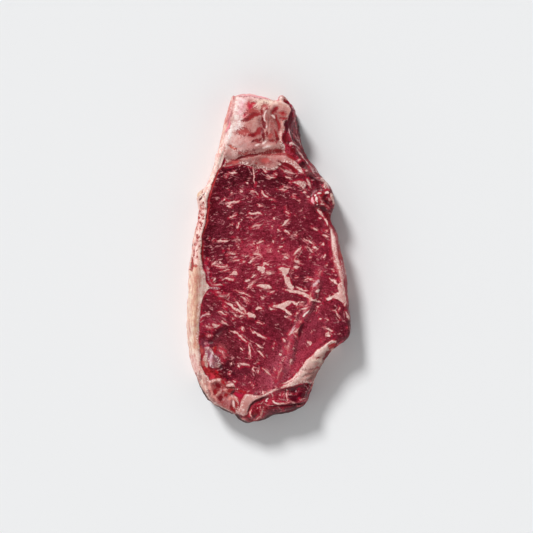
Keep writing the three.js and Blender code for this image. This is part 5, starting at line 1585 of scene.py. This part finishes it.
FLECK_SHARE = 0.85  # how fully a drawn fleck covers the lean
FAT_EDGE_SHARE = 0.6  # how much of FAT_EDGE_TONE is in the edge of the fat
FAT_HEIGHT = 0.35  # what fat and flecks add to the height that the bump is made from
BUMP = {"Strength": 0.5, "Distance": 0.22 * MM}
# What the wall and the fat add to the roughness, and what the wet places take from it.
DRIER_WALL = 0.3
DRIER_FAT = 0.08
WETTER = 0.14
MEAT = {
    "Subsurface Weight": 0.08, "Subsurface Radius": (1.0, 0.4, 0.3), "Subsurface Scale": 0.8 * MM,
    "Specular IOR Level": 0.22,
}


class Nodes:
    """Short calls for building the node tree of a material or a world."""

    def __init__(self, owner):
        owner.use_nodes = True
        self.owner = owner
        self.tree = owner.node_tree
        self.tree.nodes.clear()

    def add(self, kind, **inputs):
        node = self.tree.nodes.new(kind)
        for name, value in inputs.items():
            self.feed(node.inputs[name.replace("_", " ")], value)
        return node

    def feed(self, socket, value):
        if isinstance(value, bpy.types.NodeSocket):
            self.tree.links.new(value, socket)
        else:
            socket.default_value = value

    def attribute(self, name, output="Fac"):
        node = self.tree.nodes.new("ShaderNodeAttribute")
        node.attribute_name = name
        return node.outputs[output]

    def math(self, operation, a, b=0.0):
        node = self.tree.nodes.new("ShaderNodeMath")
        node.operation = operation
        self.feed(node.inputs[0], a)
        self.feed(node.inputs[1], b)
        return node.outputs[0]

    def add_up(self, a, b):
        return self.math("ADD", a, b)

    def times(self, a, b):
        return self.math("MULTIPLY", a, b)

    def ramp(self, value, low, high, to_low=0.0, to_high=1.0):
        node = self.tree.nodes.new("ShaderNodeMapRange")
        node.interpolation_type = "SMOOTHSTEP"
        for name, number in zip(("Value", "From Min", "From Max", "To Min", "To Max"),
                                (value, low, high, to_low, to_high)):
            self.feed(node.inputs[name], number)
        return node.outputs[0]

    def step(self, name, value):
        return self.ramp(value, *STEPS[name])

    def weighed(self, noises, weights):
        """The sum of the noises' offsets from a half, each times its weight."""
        total = 0.0
        for name, weight in weights.items():
            part = self.times(self.math("SUBTRACT", noises[name], 0.5), weight)
            total = part if total == 0.0 else self.add_up(total, part)
        return total

    def mix(self, share, a, b, blend="MIX"):
        node = self.tree.nodes.new("ShaderNodeMix")
        node.data_type = "RGBA"
        node.blend_type = blend
        node.clamp_factor = True
        self.feed(node.inputs[0], share)
        self.feed(node.inputs[6], a)
        self.feed(node.inputs[7], b)
        return node.outputs[2]

    def noise(self, vector, size, detail=2.0, roughness=0.55):
        """Noise from 0 to 1 with lumps of that size in millimetres."""
        node = self.add("ShaderNodeTexNoise", Vector=vector)
        node.inputs["Scale"].default_value = 1 / (size * MM)
        node.inputs["Detail"].default_value = detail
        node.inputs["Roughness"].default_value = roughness
        return node.outputs["Fac"]

    def turned(self, vector, degrees, scale):
        """The vector with its x axis turned that far and each axis stretched by the scale."""
        node = self.tree.nodes.new("ShaderNodeMapping")
        node.vector_type = "TEXTURE"
        self.feed(node.inputs["Vector"], vector)
        node.inputs["Rotation"].default_value = (0, 0, math.radians(degrees))
        node.inputs["Scale"].default_value = scale
        return node.outputs[0]

    def finish(self, shader, kind):
        """Leads the shader into an output of that kind, and gives the material or world."""
        out = self.add(kind)
        self.tree.links.new(shader.outputs[0], out.inputs["Surface"])
        return self.owner


def display(rgb):
    """A socket's value for a display colour."""
    return (*linear(rgb), 1.0)


def fibres(n, where):
    """Noise from 0 to 1 stretched along the grain, taken from the class of grain of each place."""
    split = n.add("ShaderNodeSeparateColor", Color=n.attribute("grain", "Color"))
    first, second, third = split.outputs
    rest = n.math("SUBTRACT", 1.0, n.add_up(n.add_up(first, second), third))
    blended = None
    for turn, share in zip(GRAIN_CLASSES, [first, second, third, n.math("MAXIMUM", rest, 0.0)]):
        stretched = n.noise(n.turned(where, turn, FIBRE_STRETCH), *FIBRE_NOISE)
        part = n.times(n.math("SUBTRACT", stretched, 0.5), share)
        blended = part if blended is None else n.add_up(blended, part)
    return n.add_up(blended, 0.5)


def meat_noises(n):
    """The material's noises by name, each from 0 to 1."""
    where = n.add("ShaderNodeTexCoord").outputs["Object"]
    found = {name: n.noise(where, *settings) for name, settings in NOISES.items()}
    for name, (turn, stretch, *settings) in DRAWN_NOISES.items():
        found[name] = n.noise(n.turned(where, turn, stretch), *settings)
    found["fibre"] = fibres(n, where)
    found["fleck share"] = n.attribute("fleck_share")
    return found


def covers(n, noises):
    """The fat's ragged depth, and how much fat, flecks and marks cover a place."""
    edge = n.times(n.weighed(noises, RAGGED_EDGE), RAGGEDNESS)
    depth = n.add_up(n.attribute("fat_depth"), edge)
    drawn = n.step("fleck", n.add_up(n.attribute("fleck_depth"), edge))
    streak = n.step("streak", n.weighed(noises, STREAKS))
    streak = n.times(streak, n.step("streak on the wall", n.attribute("wall")))
    fleck = n.math("MAXIMUM", n.times(drawn, FLECK_SHARE), streak)
    mark = n.step("mark", n.add_up(n.attribute("mark_depth"), n.weighed(noises, MARK_EDGE)))
    return depth, n.step("fat", depth), fleck, mark


def lean_colour(n, noises, fat_depth):
    level = n.weighed(noises, LEAN_LEVEL)
    shade = n.mix(n.step("shade of the lean", level), *LEAN_SHADES)
    lean = n.mix(1.0, n.attribute("lean_tone_with_shade", "Color"), shade, "MULTIPLY")
    lean = n.mix(n.step("pink of the lean", level), lean, display(LEAN_PINK))
    lean = n.mix(n.step("deep lean", noises["broad"]), lean, display(LEAN_DEEP))
    crimson = n.step("crimson beside fat", noises["mottle"])
    return n.mix(n.times(n.step("lean beside fat", fat_depth), crimson), lean, display(LEAN_CRIMSON))


def fat_colour(n, noises, fat_depth):
    """The fat's colour: veined and blushing, with pale spots, a redder edge and rings on the rind."""
    streaky = n.times(n.math("SUBTRACT", noises["streaky"], 0.5), n.attribute("cap_share"))
    veins = n.add_up(n.weighed(noises, FAT_VEINS), streaky)
    fat = n.mix(n.step("blush", noises["mottle"]), n.attribute("fat_tone_with_highlights_and_shade", "Color"), display(FAT_BLUSH))
    fat = n.mix(1.0, fat, n.mix(n.step("veins of the fat", veins), *FAT_SHADES), "MULTIPLY")
    pale = n.times(n.step("inside fat", fat_depth), n.step("pale spots", noises["ragged"]))
    pale = n.times(pale, n.step("pale spots deep inside fat", n.attribute("fat_depth")))
    fat = n.mix(pale, fat, display(FAT_PALE))
    edge = n.mix(FAT_EDGE_SHARE, fat, display(FAT_EDGE_TONE))
    fat = n.mix(n.step("edge of the fat", fat_depth), fat, edge)
    rings = n.times(n.step("rings of the rind", noises["rings"]), n.attribute("wall"))
    return n.mix(rings, fat, display(RIND_STREAK))


def moist_surface(n, noises, fat, fleck):
    """Normal and roughness: fat and flecks stand up a little, the cut face is the wettest."""
    height = n.times(n.weighed(noises, HEIGHT), n.step("height on fat", fat))
    height = n.add_up(height, n.times(n.math("MAXIMUM", fat, fleck), FAT_HEIGHT))
    bump = n.add("ShaderNodeBump", Height=height, **BUMP)
    dry = n.add_up(n.step("dryness", noises["ragged"]), n.times(n.attribute("wall"), DRIER_WALL))
    dry = n.add_up(dry, n.times(fat, DRIER_FAT))
    return bump.outputs[0], n.math("SUBTRACT", dry, n.times(n.attribute("wet"), WETTER))


def meat_material():
    n = Nodes(bpy.data.materials.new("raw_meat"))
    noises = meat_noises(n)
    fat_depth, fat, fleck, mark = covers(n, noises)
    colour = n.mix(fleck, lean_colour(n, noises, fat_depth), display(FLECK_TONE))
    colour = n.mix(fat, colour, fat_colour(n, noises, fat_depth))
    colour = n.mix(mark, colour, n.attribute("mark_tone_with_shade", "Color"))
    normal, roughness = moist_surface(n, noises, fat, fleck)
    shader = n.add("ShaderNodeBsdfPrincipled", Base_Color=colour, Roughness=roughness, Normal=normal)
    for name, value in MEAT.items():
        shader.inputs[name].default_value = value
    return n.finish(shader, "ShaderNodeOutputMaterial")


# ---- Floor, light and camera ----

FLOOR_TONE = (238, 239, 240)
FLOOR_SIZE = 6.0
FLOOR_DROP = 0.0001
FLOOR_ROUGHNESS = 0.9
KEY_TURN = (0.51, -0.86)  # where the key light goes to, seen from above
KEY_ELEVATION = math.radians(37)
KEY_SHARE = 0.55  # the share of the floor's light that comes from the key
KEY_SOFTNESS = math.radians(13)
DARK_ZENITH = math.radians(36)  # how far from straight above the surround is dark
ZENITH_EDGE = 0.06  # how softly that ends, by the upward part of a direction
FILL_GAIN = 1.016  # a small rise of the surround, for the lightness of the floor
LOW_BAND = 0.36  # the upward part below which the surround dims, to LOW_SHARE at the horizon
LOW_SHARE = 0.35
BACKDROP = 0.863  # the surround's brightness as the camera sees it
SIDE_FILL = (-0.2, -0.8)  # how much brighter the surround is towards +X and +Y

IMAGE_WIDTH = 0.34645  # metres across the picture, on the cut face
LENS = 85.0
SENSOR = 36.0
VIEW_MIDDLE = (-1.5, -4.3)  # the place in the outline frame that the camera looks down on
FACE_LEVEL = THICKNESS * MM
CLIP_END = 20


def add_floor():
    half = FLOOR_SIZE / 2
    corners = [(-half, -half, 0), (half, -half, 0), (half, half, 0), (-half, half, 0)]
    mesh = bpy.data.meshes.new("floor")
    mesh.from_pydata(corners, [], [(0, 1, 2, 3)])
    floor = bpy.data.objects.new("floor", mesh)
    bpy.context.scene.collection.objects.link(floor)
    floor.location.z = -FLOOR_DROP
    n = Nodes(bpy.data.materials.new("pale_floor"))
    shader = n.add("ShaderNodeBsdfPrincipled", Base_Color=display(FLOOR_TONE),
                   Roughness=FLOOR_ROUGHNESS, Specular_IOR_Level=0.0)
    mesh.materials.append(n.finish(shader, "ShaderNodeOutputMaterial"))


def add_key():
    light = bpy.data.lights.new("key", "SUN")
    light.energy = KEY_SHARE * math.pi / math.sin(KEY_ELEVATION)
    light.angle = KEY_SOFTNESS
    key = bpy.data.objects.new("key", light)
    level = math.cos(KEY_ELEVATION)
    down = Vector((KEY_TURN[0] * level, KEY_TURN[1] * level, -math.sin(KEY_ELEVATION)))
    key.rotation_euler = down.to_track_quat("-Z", "Y").to_euler()
    bpy.context.scene.collection.objects.link(key)


def add_fill():
    """A surround that is brightest towards -Y, dark straight above and dim near the horizon.

    Where the camera looks straight at it, it is as pale as the floor.
    """
    n = Nodes(bpy.data.worlds.new("surround"))
    way = n.add("ShaderNodeTexCoord").outputs["Generated"]
    height = n.add("ShaderNodeSeparateXYZ", Vector=way).outputs["Z"]
    aside = n.tree.nodes.new("ShaderNodeVectorMath")
    aside.operation = "DOT_PRODUCT"
    n.feed(aside.inputs[0], way)
    aside.inputs[1].default_value = (*SIDE_FILL, 0.0)
    full = FILL_GAIN * (1 - KEY_SHARE) / (1 - math.sin(DARK_ZENITH) ** 2)
    middle = math.cos(DARK_ZENITH)
    level = n.times(n.add_up(aside.outputs["Value"], 1.0), full)
    level = n.times(level, n.ramp(height, middle - ZENITH_EDGE, middle + ZENITH_EDGE, 1.0, 0.0))
    level = n.times(level, n.ramp(height, 0.0, LOW_BAND, LOW_SHARE, 1.0))
    seen = n.add("ShaderNodeLightPath").outputs["Is Camera Ray"]
    strength = n.add_up(n.times(level, n.math("SUBTRACT", 1.0, seen)), n.times(seen, BACKDROP))
    back = n.add("ShaderNodeBackground", Color=(1, 1, 1, 1), Strength=strength)
    bpy.context.scene.world = n.finish(back, "ShaderNodeOutputWorld")


def add_camera(shift):
    camera = bpy.data.objects.new("camera", bpy.data.cameras.new("camera"))
    camera.data.lens = LENS
    camera.data.sensor_width = SENSOR
    camera.data.clip_end = CLIP_END
    rise = IMAGE_WIDTH * LENS / SENSOR
    x, y = ((middle + moved) * MM for middle, moved in zip(VIEW_MIDDLE, shift))
    camera.location = (x, y, FACE_LEVEL + rise)
    bpy.context.scene.collection.objects.link(camera)
    bpy.context.scene.camera = camera


def set_view():
    view = bpy.context.scene.view_settings
    view.view_transform = "Standard"
    view.look = "None"
    view.exposure = 0.0
    view.gamma = 1.0


# ---- The scene ----

steak, frame_shift = build_steak()
steak.data.materials.append(meat_material())
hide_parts("steak")
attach(steak, "root")
add_floor()
add_key()
add_fill()
add_camera(frame_shift)
set_view()
